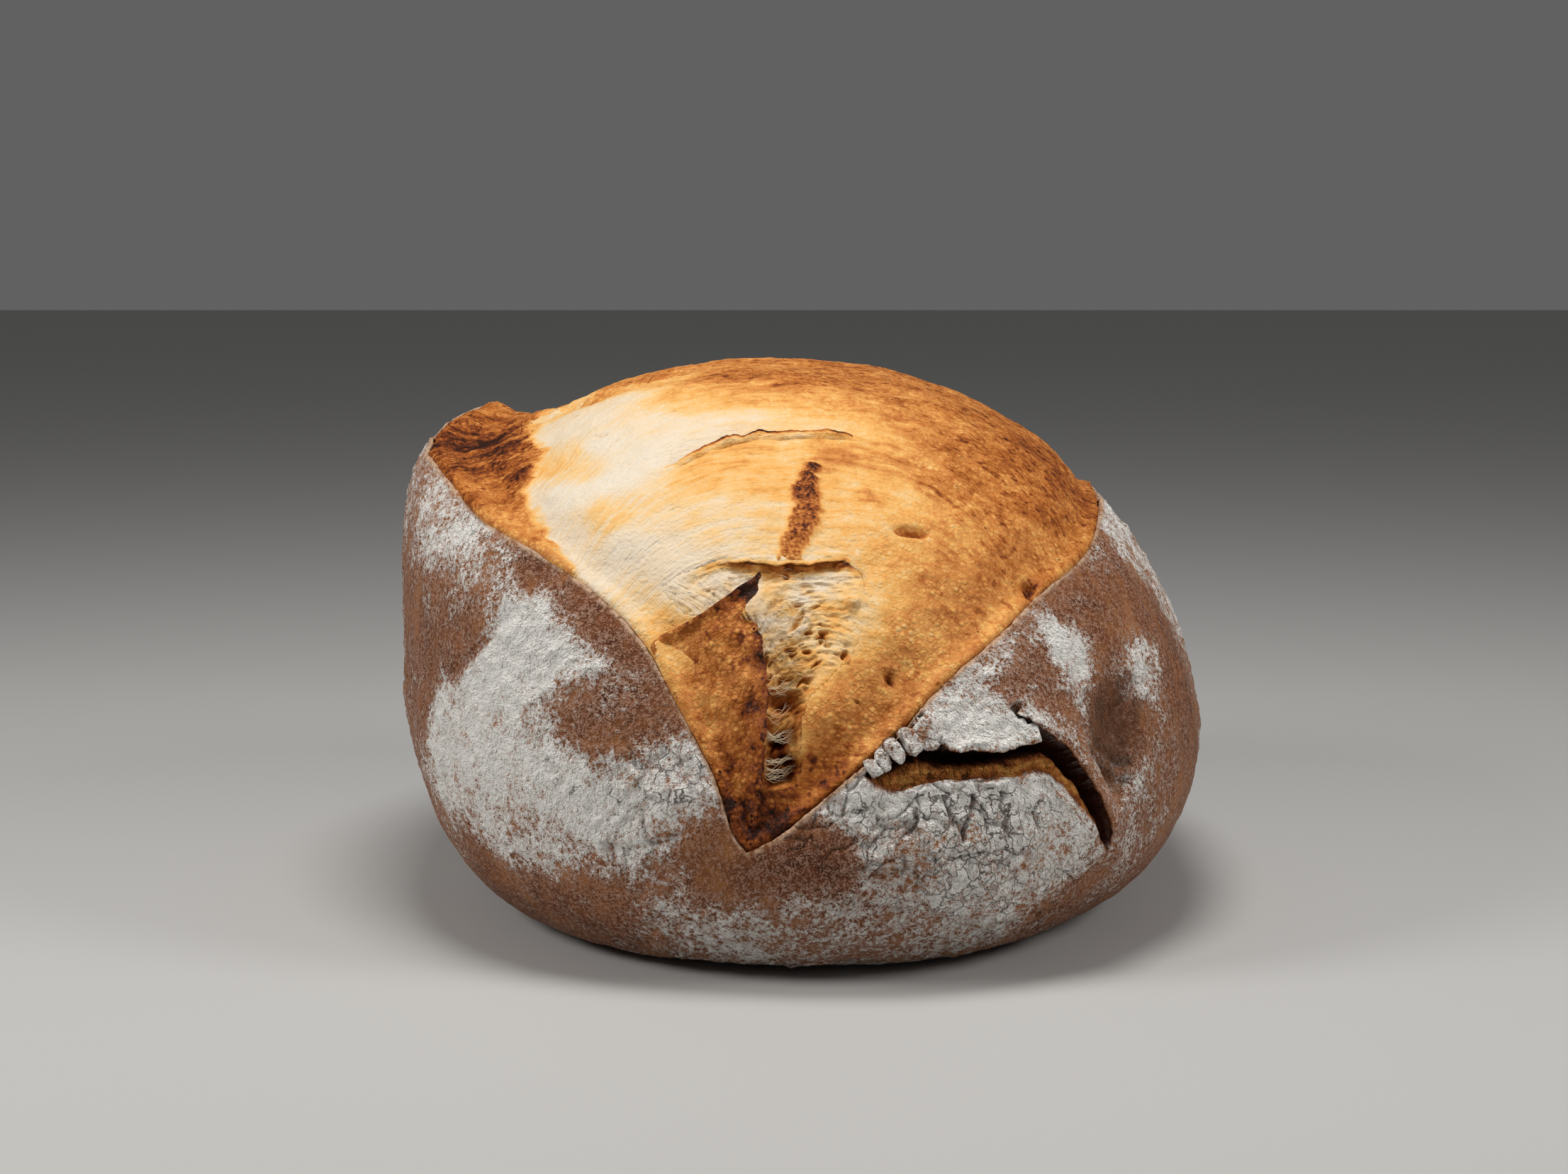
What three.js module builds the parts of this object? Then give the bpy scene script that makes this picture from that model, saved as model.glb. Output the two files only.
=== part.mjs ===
// Sourdough loaf: an oval hearth loaf, baked in one piece. Floured walls stand round a deep split
// that runs from end to end, and the crumb that burst out of it forms the crown.
// Millimetres, +Z up. The origin is on the underside, below the middle of the loaf. +X is the
// loaf's right and +Y points away from the end whose split is widest open.
import * as THREE from "three";

// --- Driving dimensions ----------------------------------------------------------------------
const HALF_WIDTH = 86;
const HALF_LENGTH_FRONT = 113;
const HALF_LENGTH_BACK = 113.7;
const PLAN_POWER = 2.25; // 2 would be an ellipse in plan
const WALL_CROWN = 112; // height at which the walls would close if the loaf had not split

// Tables round the loaf: [azimuth in degrees, value]. 0 is the right, 90 the back, 270 the front.
const GIRTH_HEIGHT = [[0, 38], [60, 40], [120, 45], [180, 48], [225, 42], [270, 29], [315, 34]];
const FOOT_SHARE = [[0, 0.62], [90, 0.76], [180, 0.58], [225, 0.67], [270, 0.745], [315, 0.665]];
const SHOULDER_RISE = [
  [0, 1.7], [45, 1.8], [90, 2.1], [140, 3.4], [180, 5.2],
  [215, 3.8], [250, 2.4], [270, 2.2], [300, 1.95], [330, 1.75],
];
const SHOULDER_REACH = [[0, 2.0], [90, 2.3], [180, 3.0], [225, 2.6], [270, 2.2], [300, 2.1]];

// The rim of the split: [azimuth in degrees, height], once round from the front corner of the V.
const RIM = [
  [264.5, 27], [267.5, 30], [270.5, 35], [275.5, 43], [278, 47], [284, 57], [291, 64.5],
  [300, 72], [314, 77.5], [325, 81], [340, 83.5], [356, 84.5], [372, 83], [390, 78.5],
  [408, 71], [424, 61], [436, 51], [445, 44], [454, 48], [466, 60], [480, 73], [494, 85],
  [508, 95.5], [519, 99.5], [530, 99], [542, 95.5], [554, 93], [564, 92], [576, 89],
  [588, 84], [599, 79], [607, 73], [613, 65], [617, 55], [621, 42], [623, 31], [624.5, 27],
];

// The burst crumb is a rounded dome that swells up between the walls.
const DOME_CENTRE = new THREE.Vector3(-7.3, 4.1, 31.3);
const DOME_HEIGHT = 79.9; // above DOME_CENTRE
const DOME_REACH = { right: 95.5, left: 86.6, front: 117.1, back: 108.9 };
const DOME_POWERS = { across: 2.28, along: 2.58, up: 1.8 };

const LIP_THICKNESS = 1.6; // of the crust where the split shows its edge
// Depth of the furrow between rim and crumb: shallow at the ends, deeper behind the raised ear.
const FURROW_DEPTH = [[0, 1.5], [60, 2], [110, 3], [150, 4], [200, 4], [225, 4], [250, 2], [300, 1.5]];
const FURROW_FLOOR = 2.5; // distance from the lip to the furrow's lowest line
const FURROW_WIDTH = 13;
const FLUSH_REACH = 24; // how far along the crumb the rim still sets its height
const EAR_REACH = 9; // the same where the rim stands proud of the dome as an ear
const EAR_SWELL = 1.08; // how many times the dome's own reach makes a full ear

// --- Mesh density ----------------------------------------------------------------------------
const COLUMNS = 96;
const FRONT_CROWDING = 0.3; // 0 spaces the columns evenly along the rim, more crowds them in front
const FOOT_ROWS = 2;
const FOOT_EVENNESS = 0.25; // 0 stands a column's foot under its rim point, 1 spaces the feet evenly
const WALL_ROWS = 21;
const WALL_CROWDING = 1.25; // above 1 crowds the rows at the foot
const CRUMB_ROWS = 27;
const CRUMB_CROWDING = 1.35; // above 1 crowds the rows at the lip
const TRACE_STEPS = 120; // fine steps along a column before it is divided
const TRACE_CROWDING = 1.5;

// --- Relief on the open end, outlined in front elevation as [x, z] points ------------------------
const RELIEF_END_Y = -20; // there is none further from the open end than this
// A flap of skin torn free along its right edge, and the sunk stringy crumb beside it.
const FLAP = [
  [-32, 63], [-21, 67], [-15, 71], [-9, 75], [-9, 67], [-7.5, 56], [-7, 48], [-8, 40], [-18, 48],
];
const FLAP_ROOT = { x: -32, z: 34 }; // the flap lies flat here and lifts towards its tip
const FLAP_TIP = { x: -9, z: 60 };
const FLAP_LIFT = 3;
const VALLEY = [
  [-6, 70], [-5, 60], [-4, 52], [-4.5, 43], [-5.5, 38], [-3, 38], [0, 44], [3, 53], [6, 61], [6, 69],
];
const VALLEY_DEPTH = 3;
// Torn crumb under the edge of the skin that stretches up to the crown.
const TORN_BAND = [
  [-29, 74], [-23, 78], [-15, 80], [-4, 81], [6, 80.5], [12, 78], [16, 74],
  [8, 73], [0, 75], [-8, 78], [-15, 76], [-22, 72], [-29, 70],
];
const TORN_DEPTH = 1.5;
// A strip of skin left across the stretched crumb.
const BRIDGE = [[-2.5, 96], [2.5, 96], [0.5, 85], [-1.5, 80.5], [-6, 80.5], [-4.5, 85]];
const BRIDGE_RISE = 1.5;
const STRETCH_LINE = [[-28, 93], [-21, 97], [-9, 100], [-1, 100.5], [10, 98.5]]; // a step in the skin
const STRETCH_DEPTH = 1.2;
const STRETCH_HALF_WIDTH = 2.5;
// A second burst through the side wall, the crease that ends it and the lobe it pushed out.
const BURST = [
  [11, 42], [17, 47.5], [23, 50], [29, 48], [37, 47], [44, 48.5],
  [49, 43], [52, 32], [46, 38], [40, 41], [31, 40.5], [20, 39.5], [13, 38.5],
];
const BURST_DEPTH = 4.5;
const CREASE = [[42, 52], [47, 46], [53, 38], [56, 30], [56, 22], [54, 11]];
const CREASE_DEPTH = 3.4;
const CREASE_HALF_WIDTH = 3.2;
const LOBE = { x: 32, z: 26, halfWidth: 24, halfHeight: 16, rise: 2.6 };
const DIMPLE = { x: 64, z: 50, halfWidth: 5, halfHeight: 8, rise: -2 };
const EDGE_SOFTNESS = 2.8; // half the width over which a relief reaches its full height
const GROOVE_ENDS = 0.15; // share of a groove's length over which each end fades in

const CRUST_LOOK = { color: 0xb9a58c, roughness: 0.85, metalness: 0 };

// --- Small helpers ---------------------------------------------------------------------------
const clamp01 = (v) => Math.min(1, Math.max(0, v));
const mix = (a, b, t) => a + (b - a) * t;
const bump = (distance, reach) => Math.exp(-((distance / reach) ** 2));

function smoothStep(low, high, v) {
  const t = clamp01((v - low) / (high - low));
  return t * t * (3 - 2 * t);
}

/** Value of a table at an azimuth: a cubic through its points that closes on itself. */
function aroundLoaf(table, azimuth) {
  const n = table.length;
  const turned = ((azimuth % 360) + 360) % 360;
  const at = (i) => {
    const [angle, value] = table[((i % n) + n) % n];
    return [angle + 360 * Math.floor(i / n), value];
  };
  let i = n - 1;
  while (i >= 0 && table[i][0] > turned) i -= 1;
  const [p0, p1, p2, p3] = [at(i - 1), at(i), at(i + 1), at(i + 2)];
  const span = p2[0] - p1[0];
  const t = (turned - p1[0]) / span;
  const slopeIn = ((p2[1] - p0[1]) / (p2[0] - p0[0])) * span;
  const slopeOut = ((p3[1] - p1[1]) / (p3[0] - p1[0])) * span;
  const [t2, t3] = [t * t, t * t * t];
  return (
    (2 * t3 - 3 * t2 + 1) * p1[1] + (t3 - 2 * t2 + t) * slopeIn +
    (3 * t2 - 2 * t3) * p2[1] + (t3 - t2) * slopeOut
  );
}

// --- The two basic forms: the wall and the dome --------------------------------------------------
const NEWTON_STEPS = 12;

function girthRadius(azimuth) {
  const a = THREE.MathUtils.degToRad(azimuth);
  const halfLength = Math.sin(a) < 0 ? HALF_LENGTH_FRONT : HALF_LENGTH_BACK;
  const across = Math.abs(Math.cos(a) / HALF_WIDTH) ** PLAN_POWER;
  const along = Math.abs(Math.sin(a) / halfLength) ** PLAN_POWER;
  return (across + along) ** (-1 / PLAN_POWER);
}

/** Point of the crust wall at an azimuth and a height. */
function wallPoint(azimuth, height) {
  const girth = aroundLoaf(GIRTH_HEIGHT, azimuth);
  let share;
  if (height < girth) {
    const foot = aroundLoaf(FOOT_SHARE, azimuth);
    const below = 1 - height / girth;
    share = foot + (1 - foot) * Math.sqrt(1 - below * below);
  } else {
    const above = clamp01((height - girth) / (WALL_CROWN - girth));
    const rise = above ** aroundLoaf(SHOULDER_RISE, azimuth);
    share = (1 - rise) ** (1 / aroundLoaf(SHOULDER_REACH, azimuth));
  }
  const radius = girthRadius(azimuth) * share;
  const a = THREE.MathUtils.degToRad(azimuth);
  return new THREE.Vector3(radius * Math.cos(a), radius * Math.sin(a), height);
}

/** Distance from DOME_CENTRE to the dome along a unit direction, by Newton's method. */
function domeRadius(direction) {
  const { across, along, up } = DOME_POWERS;
  const terms = [
    [Math.abs(direction.x) / (direction.x > 0 ? DOME_REACH.right : DOME_REACH.left), across],
    [Math.abs(direction.y) / (direction.y < 0 ? DOME_REACH.front : DOME_REACH.back), along],
    [Math.abs(direction.z) / DOME_HEIGHT, up],
  ];
  let radius = DOME_HEIGHT;
  for (let step = 0; step < NEWTON_STEPS; step += 1) {
    let excess = -1;
    let slope = 0;
    for (const [scale, power] of terms) {
      const term = (radius * scale) ** power;
      excess += term;
      slope += (power * term) / radius;
    }
    radius -= excess / slope;
  }
  return radius;
}

// --- The rim and the columns that run from foot to crown ---------------------------------------
const rimCurve = new THREE.CatmullRomCurve3(
  RIM.map(([azimuth, height]) => new THREE.Vector3(azimuth, height, 0)),
  false,
  "catmullrom",
  0.5,
);

const rimLine = Array.from({ length: 3 * COLUMNS }, (_, i) => {
  const { x: azimuth, y: height } = rimCurve.getPoint(i / (3 * COLUMNS));
  return wallPoint(azimuth, height);
});

function distanceToRim(point) {
  let nearest = Infinity;
  for (const rim of rimLine) nearest = Math.min(nearest, rim.distanceToSquared(point));
  return Math.sqrt(nearest);
}

/** Foot rows on the underside, then wall rows up to the rim. */
function wallColumn(share) {
  const { x: rimAzimuth, y: rimHeight } = rimCurve.getPoint(share);
  const evenAzimuth = RIM[0][0] + 360 * share;
  const footAzimuth = mix(rimAzimuth, evenAzimuth, FOOT_EVENNESS);
  const foot = wallPoint(footAzimuth, 0);
  const rows = [];
  for (let i = 1; i <= FOOT_ROWS; i += 1) {
    rows.push(foot.clone().multiplyScalar(i / (FOOT_ROWS + 1)));
  }
  for (let i = 0; i <= WALL_ROWS; i += 1) {
    const t = (i / WALL_ROWS) ** WALL_CROWDING;
    rows.push(wallPoint(mix(footAzimuth, rimAzimuth, t), rimHeight * t));
  }
  return rows;
}

/** Crumb rows from the lip inside the rim, down into the furrow and up towards the crown. */
function crumbColumn(share) {
  const { x: rimAzimuth, y: rimHeight } = rimCurve.getPoint(share);
  const arm = wallPoint(rimAzimuth, rimHeight).sub(DOME_CENTRE);
  const start = arm.clone().normalize();
  const swell = arm.length() / domeRadius(start);
  const furrow = aroundLoaf(FURROW_DEPTH, rimAzimuth);
  const flushReach = mix(FLUSH_REACH, EAR_REACH, smoothStep(1, EAR_SWELL, swell));
  const trace = [];
  let travelled = 0;
  for (let i = 0; i <= TRACE_STEPS; i += 1) {
    const turn = (i / TRACE_STEPS) ** TRACE_CROWDING;
    const direction = start.clone().lerp(new THREE.Vector3(0, 0, 1), turn).normalize();
    const reach = domeRadius(direction);
    const flush = 1 + (swell - 1) * bump(reach * direction.angleTo(start), flushReach);
    const surface = DOME_CENTRE.clone().addScaledVector(direction, reach * flush);
    const inside = distanceToRim(surface) - LIP_THICKNESS;
    const descent = smoothStep(0, FURROW_FLOOR, inside);
    const climb = smoothStep(FURROW_FLOOR, FURROW_WIDTH, inside);
    const sunk = furrow * descent * (1 - climb);
    const point = surface.addScaledVector(direction, -sunk);
    if (i > 0) travelled += point.distanceTo(trace.at(-1).point);
    trace.push({ point, travelled });
  }
  return divide(trace, CRUMB_ROWS);
}

/** Points along a traced line, close together at the lip and wider apart towards the crown. */
function divide(trace, rows) {
  const total = trace.at(-1).travelled;
  const points = [];
  let i = 1;
  for (let row = 0; row < rows; row += 1) {
    const target = LIP_THICKNESS + (total - LIP_THICKNESS) * (row / rows) ** CRUMB_CROWDING;
    while (trace[i].travelled < target) i += 1;
    const [before, after] = [trace[i - 1], trace[i]];
    const t = (target - before.travelled) / (after.travelled - before.travelled);
    points.push(before.point.clone().lerp(after.point, t));
  }
  return points;
}

// --- Relief: how far a point stands proud of the basic form -------------------------------------
/** Distance from a point to a run of straight pieces, and how far along it the nearest place is. */
function nearLine(line, x, z) {
  let best = { distance: Infinity, share: 0 };
  for (let i = 0; i + 1 < line.length; i += 1) {
    const [[x0, z0], [x1, z1]] = [line[i], line[i + 1]];
    const [runX, runZ] = [x1 - x0, z1 - z0];
    const along = clamp01(((x - x0) * runX + (z - z0) * runZ) / (runX * runX + runZ * runZ));
    const distance = Math.hypot(x - x0 - along * runX, z - z0 - along * runZ);
    if (distance < best.distance) best = { distance, share: (i + along) / (line.length - 1) };
  }
  return best;
}

/** Distance inside a closed outline; outside it the distance is negative. */
function insetIn(outline, x, z) {
  const { distance } = nearLine([...outline, outline[0]], x, z);
  let inside = false;
  outline.forEach(([x1, z1], i) => {
    const [x0, z0] = outline.at(i - 1);
    if (z0 > z !== z1 > z && x < ((x1 - x0) * (z - z0)) / (z1 - z0) + x0) inside = !inside;
  });
  return inside ? distance : -distance;
}

const filled = (outline, x, z) => smoothStep(-EDGE_SOFTNESS, EDGE_SOFTNESS, insetIn(outline, x, z));

function groove(line, halfWidth, x, z) {
  const { distance, share } = nearLine(line, x, z);
  const ends = smoothStep(0, GROOVE_ENDS, share) * smoothStep(0, GROOVE_ENDS, 1 - share);
  return bump(distance, halfWidth) * ends;
}

function mound({ x: midX, z: midZ, halfWidth, halfHeight, rise }, x, z) {
  return rise * bump(Math.hypot((x - midX) / halfWidth, (z - midZ) / halfHeight), 1);
}

function crustRelief({ x, y, z }) {
  if (y > RELIEF_END_Y) return 0;
  const burst = filled(BURST, x, z);
  const sunk = BURST_DEPTH * burst + CREASE_DEPTH * groove(CREASE, CREASE_HALF_WIDTH, x, z);
  return mound(LOBE, x, z) * (1 - burst) + mound(DIMPLE, x, z) - sunk;
}

function crumbRelief({ x, y, z }) {
  if (y > RELIEF_END_Y) return 0;
  const towardsTip = smoothStep(FLAP_ROOT.x, FLAP_TIP.x, x) * smoothStep(FLAP_ROOT.z, FLAP_TIP.z, z);
  const raised = FLAP_LIFT * towardsTip * filled(FLAP, x, z) + BRIDGE_RISE * filled(BRIDGE, x, z);
  const sunk = VALLEY_DEPTH * filled(VALLEY, x, z) + TORN_DEPTH * filled(TORN_BAND, x, z);
  return raised - sunk - STRETCH_DEPTH * groove(STRETCH_LINE, STRETCH_HALF_WIDTH, x, z);
}

// --- The mesh ----------------------------------------------------------------------------------
/** A closed surface from columns of points between a lowest and a highest point. */
function closedSurface(columns, lowest, highest) {
  const rows = columns[0].length;
  const points = [...columns.flat(), lowest, highest];
  const lowestIndex = points.length - 2;
  const highestIndex = points.length - 1;
  const faces = [];
  columns.forEach((_, c) => {
    const here = c * rows;
    const next = ((c + 1) % columns.length) * rows;
    faces.push(lowestIndex, next, here);
    for (let r = 0; r + 1 < rows; r += 1) {
      const quad = [here + r, next + r, next + r + 1, here + r + 1];
      const [a, b, c, d] = quad.map((corner) => points[corner]);
      const split = a.distanceTo(c) < b.distanceTo(d) ? [0, 1, 2, 0, 2, 3] : [0, 1, 3, 1, 2, 3];
      faces.push(...split.map((corner) => quad[corner]));
    }
    faces.push(here + rows - 1, next + rows - 1, highestIndex);
  });
  const geometry = new THREE.BufferGeometry().setFromPoints(points);
  geometry.setIndex(faces);
  return geometry;
}

/** Moves each vertex along its normal by the relief of its zone. */
function pressRelief(geometry, zoneOf) {
  geometry.computeVertexNormals();
  const { position, normal } = geometry.attributes;
  const point = new THREE.Vector3();
  const out = new THREE.Vector3();
  for (let i = 0; i < position.count; i += 1) {
    point.fromBufferAttribute(position, i);
    out.fromBufferAttribute(normal, i);
    const rise = zoneOf(i) === "crumb" ? crumbRelief(point) : crustRelief(point);
    if (point.z > 0) point.addScaledVector(out, rise);
    position.setXYZ(i, point.x, point.y, Math.max(0, point.z));
  }
  geometry.computeVertexNormals();
}

function makeLoaf() {
  const columns = Array.from({ length: COLUMNS }, (_, c) => {
    const even = c / COLUMNS;
    const share = even - (FRONT_CROWDING * Math.sin(2 * Math.PI * even)) / (2 * Math.PI);
    return [...wallColumn(share), ...crumbColumn(share)];
  });
  const crustRows = FOOT_ROWS + WALL_ROWS + 1;
  const rows = crustRows + CRUMB_ROWS;
  const crown = DOME_CENTRE.clone().setZ(DOME_CENTRE.z + DOME_HEIGHT);
  const geometry = closedSurface(columns, new THREE.Vector3(0, 0, 0), crown);
  pressRelief(geometry, (i) => (i % rows >= crustRows && i < COLUMNS * rows ? "crumb" : "crust"));
  const loaf = new THREE.Mesh(geometry, new THREE.MeshStandardMaterial(CRUST_LOOK));
  loaf.name = "loaf";
  return loaf;
}

const sourdough = new THREE.Group();
sourdough.add(makeLoaf());

export default sourdough;
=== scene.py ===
# %% [markdown]
# # A sourdough loaf
#
# A hearth loaf is one piece of bread with two very different skins. The crust is the stretched outside
# of the dough, dusted with flour and baked hard. The crumb is what burst out through the baker's cut
# while the loaf sprang up in the oven, so its skin is thin, blistered and golden. This lesson builds
# both as fine meshes from a few measured curves, then gives each its own procedural finish.
#
# Lengths in the tables are millimetres, because that is how a loaf is measured. Every mesh is turned
# into metres when it is made, so that it sits exactly on the packed model.

# %% Load the packed loaf
import itertools
import math

import bpy
import numpy as np
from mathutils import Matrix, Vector


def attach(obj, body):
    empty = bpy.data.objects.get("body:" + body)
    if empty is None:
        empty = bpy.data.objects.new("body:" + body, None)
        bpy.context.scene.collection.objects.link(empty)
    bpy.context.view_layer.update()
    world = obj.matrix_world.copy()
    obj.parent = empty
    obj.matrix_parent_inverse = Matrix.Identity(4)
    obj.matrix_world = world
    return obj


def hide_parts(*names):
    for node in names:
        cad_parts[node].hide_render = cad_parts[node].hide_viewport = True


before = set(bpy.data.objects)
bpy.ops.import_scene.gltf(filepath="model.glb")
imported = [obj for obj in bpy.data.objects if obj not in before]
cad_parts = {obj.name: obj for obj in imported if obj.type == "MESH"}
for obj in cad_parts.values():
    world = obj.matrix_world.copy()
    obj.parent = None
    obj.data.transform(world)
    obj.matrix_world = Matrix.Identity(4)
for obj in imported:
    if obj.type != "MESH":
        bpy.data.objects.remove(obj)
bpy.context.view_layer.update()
MM = 0.001

# %% [markdown]
# ## The camera
#
# A loaf looks its best from a little above the table. The camera stands in front of the open end and
# looks slightly down. Its long lens keeps the loaf's proportions calm.

# %% Camera
EYE_MM = (-4.0, -674.0, 150.5)
LOOK_DOWN_DEGREES = 7.456
LENS_MM = 71.07
SENSOR_WIDTH_MM = 36.0


def add_camera():
    data = bpy.data.cameras.new("camera")
    data.sensor_fit = "HORIZONTAL"
    data.sensor_width = SENSOR_WIDTH_MM
    data.lens = LENS_MM
    camera = bpy.data.objects.new("camera", data)
    bpy.context.collection.objects.link(camera)
    camera.location = Vector(EYE_MM) * MM
    camera.rotation_euler = (math.radians(90 - LOOK_DOWN_DEGREES), 0, 0)
    bpy.context.scene.camera = camera
    return camera


camera = add_camera()
print("camera at", [round(v, 3) for v in camera.location])

# %% [markdown]
# ## Light and floor
#
# Bread is matt and lumpy, so it needs light that rakes across it. A broad soft light hangs straight above
# the loaf and models the crown. One more on each side reaches the walls, and a pale floor stands for the
# table.

# %% Light and floor
WORLD_GREY = 0.12
FLOOR_SIZE = 6.0
FLOOR_COLOUR = (0.46, 0.455, 0.445, 1.0)
FLOOR_ROUGHNESS = 0.7
LOAF_MIDDLE = (0.0, 0.0, 0.06)
WARM_WHITE = (1.0, 0.985, 0.965)
SOFT_LIGHTS = [
    # name, place, width of the disc, watts
    ("key_light", (0.0, -0.1, 0.62), 0.25, 2.4),
    ("left_light", (-0.62, -0.3, 0.45), 0.3, 3.1),
    ("right_light", (0.62, -0.3, 0.45), 0.3, 2.4),
]


def add_world():
    world = bpy.data.worlds.new("studio")
    world.use_nodes = True
    world.node_tree.nodes["Background"].inputs["Color"].default_value = (WORLD_GREY,) * 3 + (1.0,)
    bpy.context.scene.world = world


def add_soft_light(name, place, size, watts):
    data = bpy.data.lights.new(name, "AREA")
    data.shape = "DISK"
    data.size = size
    data.energy = watts
    data.color = WARM_WHITE
    light = bpy.data.objects.new(name, data)
    bpy.context.collection.objects.link(light)
    light.location = place
    light.rotation_euler = (Vector(LOAF_MIDDLE) - Vector(place)).to_track_quat("-Z", "Y").to_euler()


def add_floor():
    bpy.ops.mesh.primitive_plane_add(size=FLOOR_SIZE, location=(0, 0, 0))
    floor = bpy.context.object
    floor.name = "floor"
    material = bpy.data.materials.new("pale_table")
    material.use_nodes = True
    shader = material.node_tree.nodes["Principled BSDF"]
    shader.inputs["Base Color"].default_value = FLOOR_COLOUR
    shader.inputs["Roughness"].default_value = FLOOR_ROUGHNESS
    floor.data.materials.append(material)
    return floor


add_world()
for name, place, size, watts in SOFT_LIGHTS:
    add_soft_light(name, place, size, watts)
bpy.context.scene.view_settings.view_transform = "Standard"
add_floor()

# %% [markdown]
# ## Curves that go round the loaf
#
# The loaf isn't a plain ellipsoid: its left wall stands upright, its right wall slopes, and the front
# is full and low. Each of these is a short table of a measure against the compass angle, with 0 at the
# right, 90 at the back and 270 at the open front. A cubic through the points makes the measure smooth
# all the way round.

# %% Tables round the loaf
HALF_WIDTH = 86.0
HALF_LENGTH_FRONT = 113.0
HALF_LENGTH_BACK = 113.7
PLAN_POWER = 2.25
WALL_CROWN = 112.0
GIRTH_HEIGHT = [(0, 38), (60, 40), (120, 45), (180, 48), (225, 42), (270, 29), (315, 34)]
FOOT_SHARE = [(0, 0.62), (90, 0.76), (180, 0.58), (225, 0.67), (270, 0.745), (315, 0.665)]
SHOULDER_RISE = [
    (0, 1.7), (45, 1.8), (90, 2.1), (140, 3.4), (180, 5.2),
    (215, 3.8), (250, 2.4), (270, 2.2), (300, 1.95), (330, 1.75),
]
SHOULDER_REACH = [(0, 2.0), (90, 2.3), (180, 3.0), (225, 2.6), (270, 2.2), (300, 2.1)]
FURROW_DEPTH = [(0, 1.5), (60, 2), (110, 3), (150, 4), (200, 4), (225, 4), (250, 2), (300, 1.5)]


def cubic(t, start, end, slope_in, slope_out):
    """A curve from start to end as t goes from 0 to 1, with the given slopes at its ends."""
    curve = (2 * t**3 - 3 * t**2 + 1) * start + (t**3 - 2 * t**2 + t) * slope_in
    return curve + (3 * t**2 - 2 * t**3) * end + (t**3 - t**2) * slope_out


def around_loaf(table, azimuth):
    """Values of a table at the given compass angles, by a cubic that closes on itself."""
    angles = np.array([angle for angle, _ in table], float)
    angles = np.concatenate([angles - 360, angles, angles + 360])
    values = np.tile(np.array([value for _, value in table], float), 3)
    turned = np.mod(azimuth, 360)
    i = np.searchsorted(angles, turned, side="right") - 1
    span = angles[i + 1] - angles[i]
    t = (turned - angles[i]) / span
    slope_in = (values[i + 1] - values[i - 1]) / (angles[i + 1] - angles[i - 1]) * span
    slope_out = (values[i + 2] - values[i]) / (angles[i + 2] - angles[i]) * span
    return cubic(t, values[i], values[i + 1], slope_in, slope_out)


def smooth_step(low, high, value):
    t = np.clip((value - low) / (high - low), 0, 1)
    return t * t * (3 - 2 * t)


def mound(distance, reach):
    """A soft hill: 1 where distance is 0, nearly nothing beyond twice its reach."""
    return np.exp(-((distance / reach) ** 2))


foot_reach = float(around_loaf(FOOT_SHARE, 270) * HALF_LENGTH_FRONT)
print("foot reaches", round(foot_reach, 1), "mm forward of the middle")

# %% [markdown]
# ## The wall
#
# Below its widest height the wall tucks in to a flat foot like the side of an egg. Above it, it closes
# towards a crown that it never reaches, because the loaf has split open there.

# %% Wall points
def wall_points(azimuth, height):
    girth = around_loaf(GIRTH_HEIGHT, azimuth)
    foot = around_loaf(FOOT_SHARE, azimuth)
    below = np.clip(1 - height / girth, 0, 1)
    lower = foot + (1 - foot) * np.sqrt(1 - below**2)
    above = np.clip((height - girth) / (WALL_CROWN - girth), 0, 1)
    upper = (1 - above ** around_loaf(SHOULDER_RISE, azimuth)) ** (1 / around_loaf(SHOULDER_REACH, azimuth))
    angle = np.radians(azimuth)
    half_length = np.where(np.sin(angle) < 0, HALF_LENGTH_FRONT, HALF_LENGTH_BACK)
    across = np.abs(np.cos(angle) / HALF_WIDTH) ** PLAN_POWER
    along = np.abs(np.sin(angle) / half_length) ** PLAN_POWER
    radius = (across + along) ** (-1 / PLAN_POWER) * np.where(height < girth, lower, upper)
    return np.stack([radius * np.cos(angle), radius * np.sin(angle), height + 0 * radius], axis=-1)


print("widest point on the right:", wall_points(np.array([0.0]), np.array([38.0]))[0].round(1))

# %% [markdown]
# ## The rim and the dome
#
# The rim is where the crust ends: a V that starts low on the front and climbs both sides, higher on
# the left where it lifts into an ear. It is a list of compass angles and heights with a smooth curve
# through it. The crumb is a dome that swells between the walls, a rounded box with its own powers for
# width, length and height, because burst crumb is fuller than an ellipsoid.

# %% Rim and dome
RIM = [
    (264.5, 27), (267.5, 30), (270.5, 35), (275.5, 43), (278, 47), (284, 57), (291, 64.5),
    (300, 72), (314, 77.5), (325, 81), (340, 83.5), (356, 84.5), (372, 83), (390, 78.5),
    (408, 71), (424, 61), (436, 51), (445, 44), (454, 48), (466, 60), (480, 73), (494, 85),
    (508, 95.5), (519, 99.5), (530, 99), (542, 95.5), (554, 93), (564, 92), (576, 89),
    (588, 84), (599, 79), (607, 73), (613, 65), (617, 55), (621, 42), (623, 31), (624.5, 27),
]
DOME_CENTRE = np.array([-7.3, 4.1, 31.3])
DOME_HEIGHT = 79.9
DOME_REACH = {"right": 95.5, "left": 86.6, "front": 117.1, "back": 108.9}
DOME_POWERS = {"across": 2.28, "along": 2.58, "up": 1.8}
NEWTON_STEPS = 12


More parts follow.
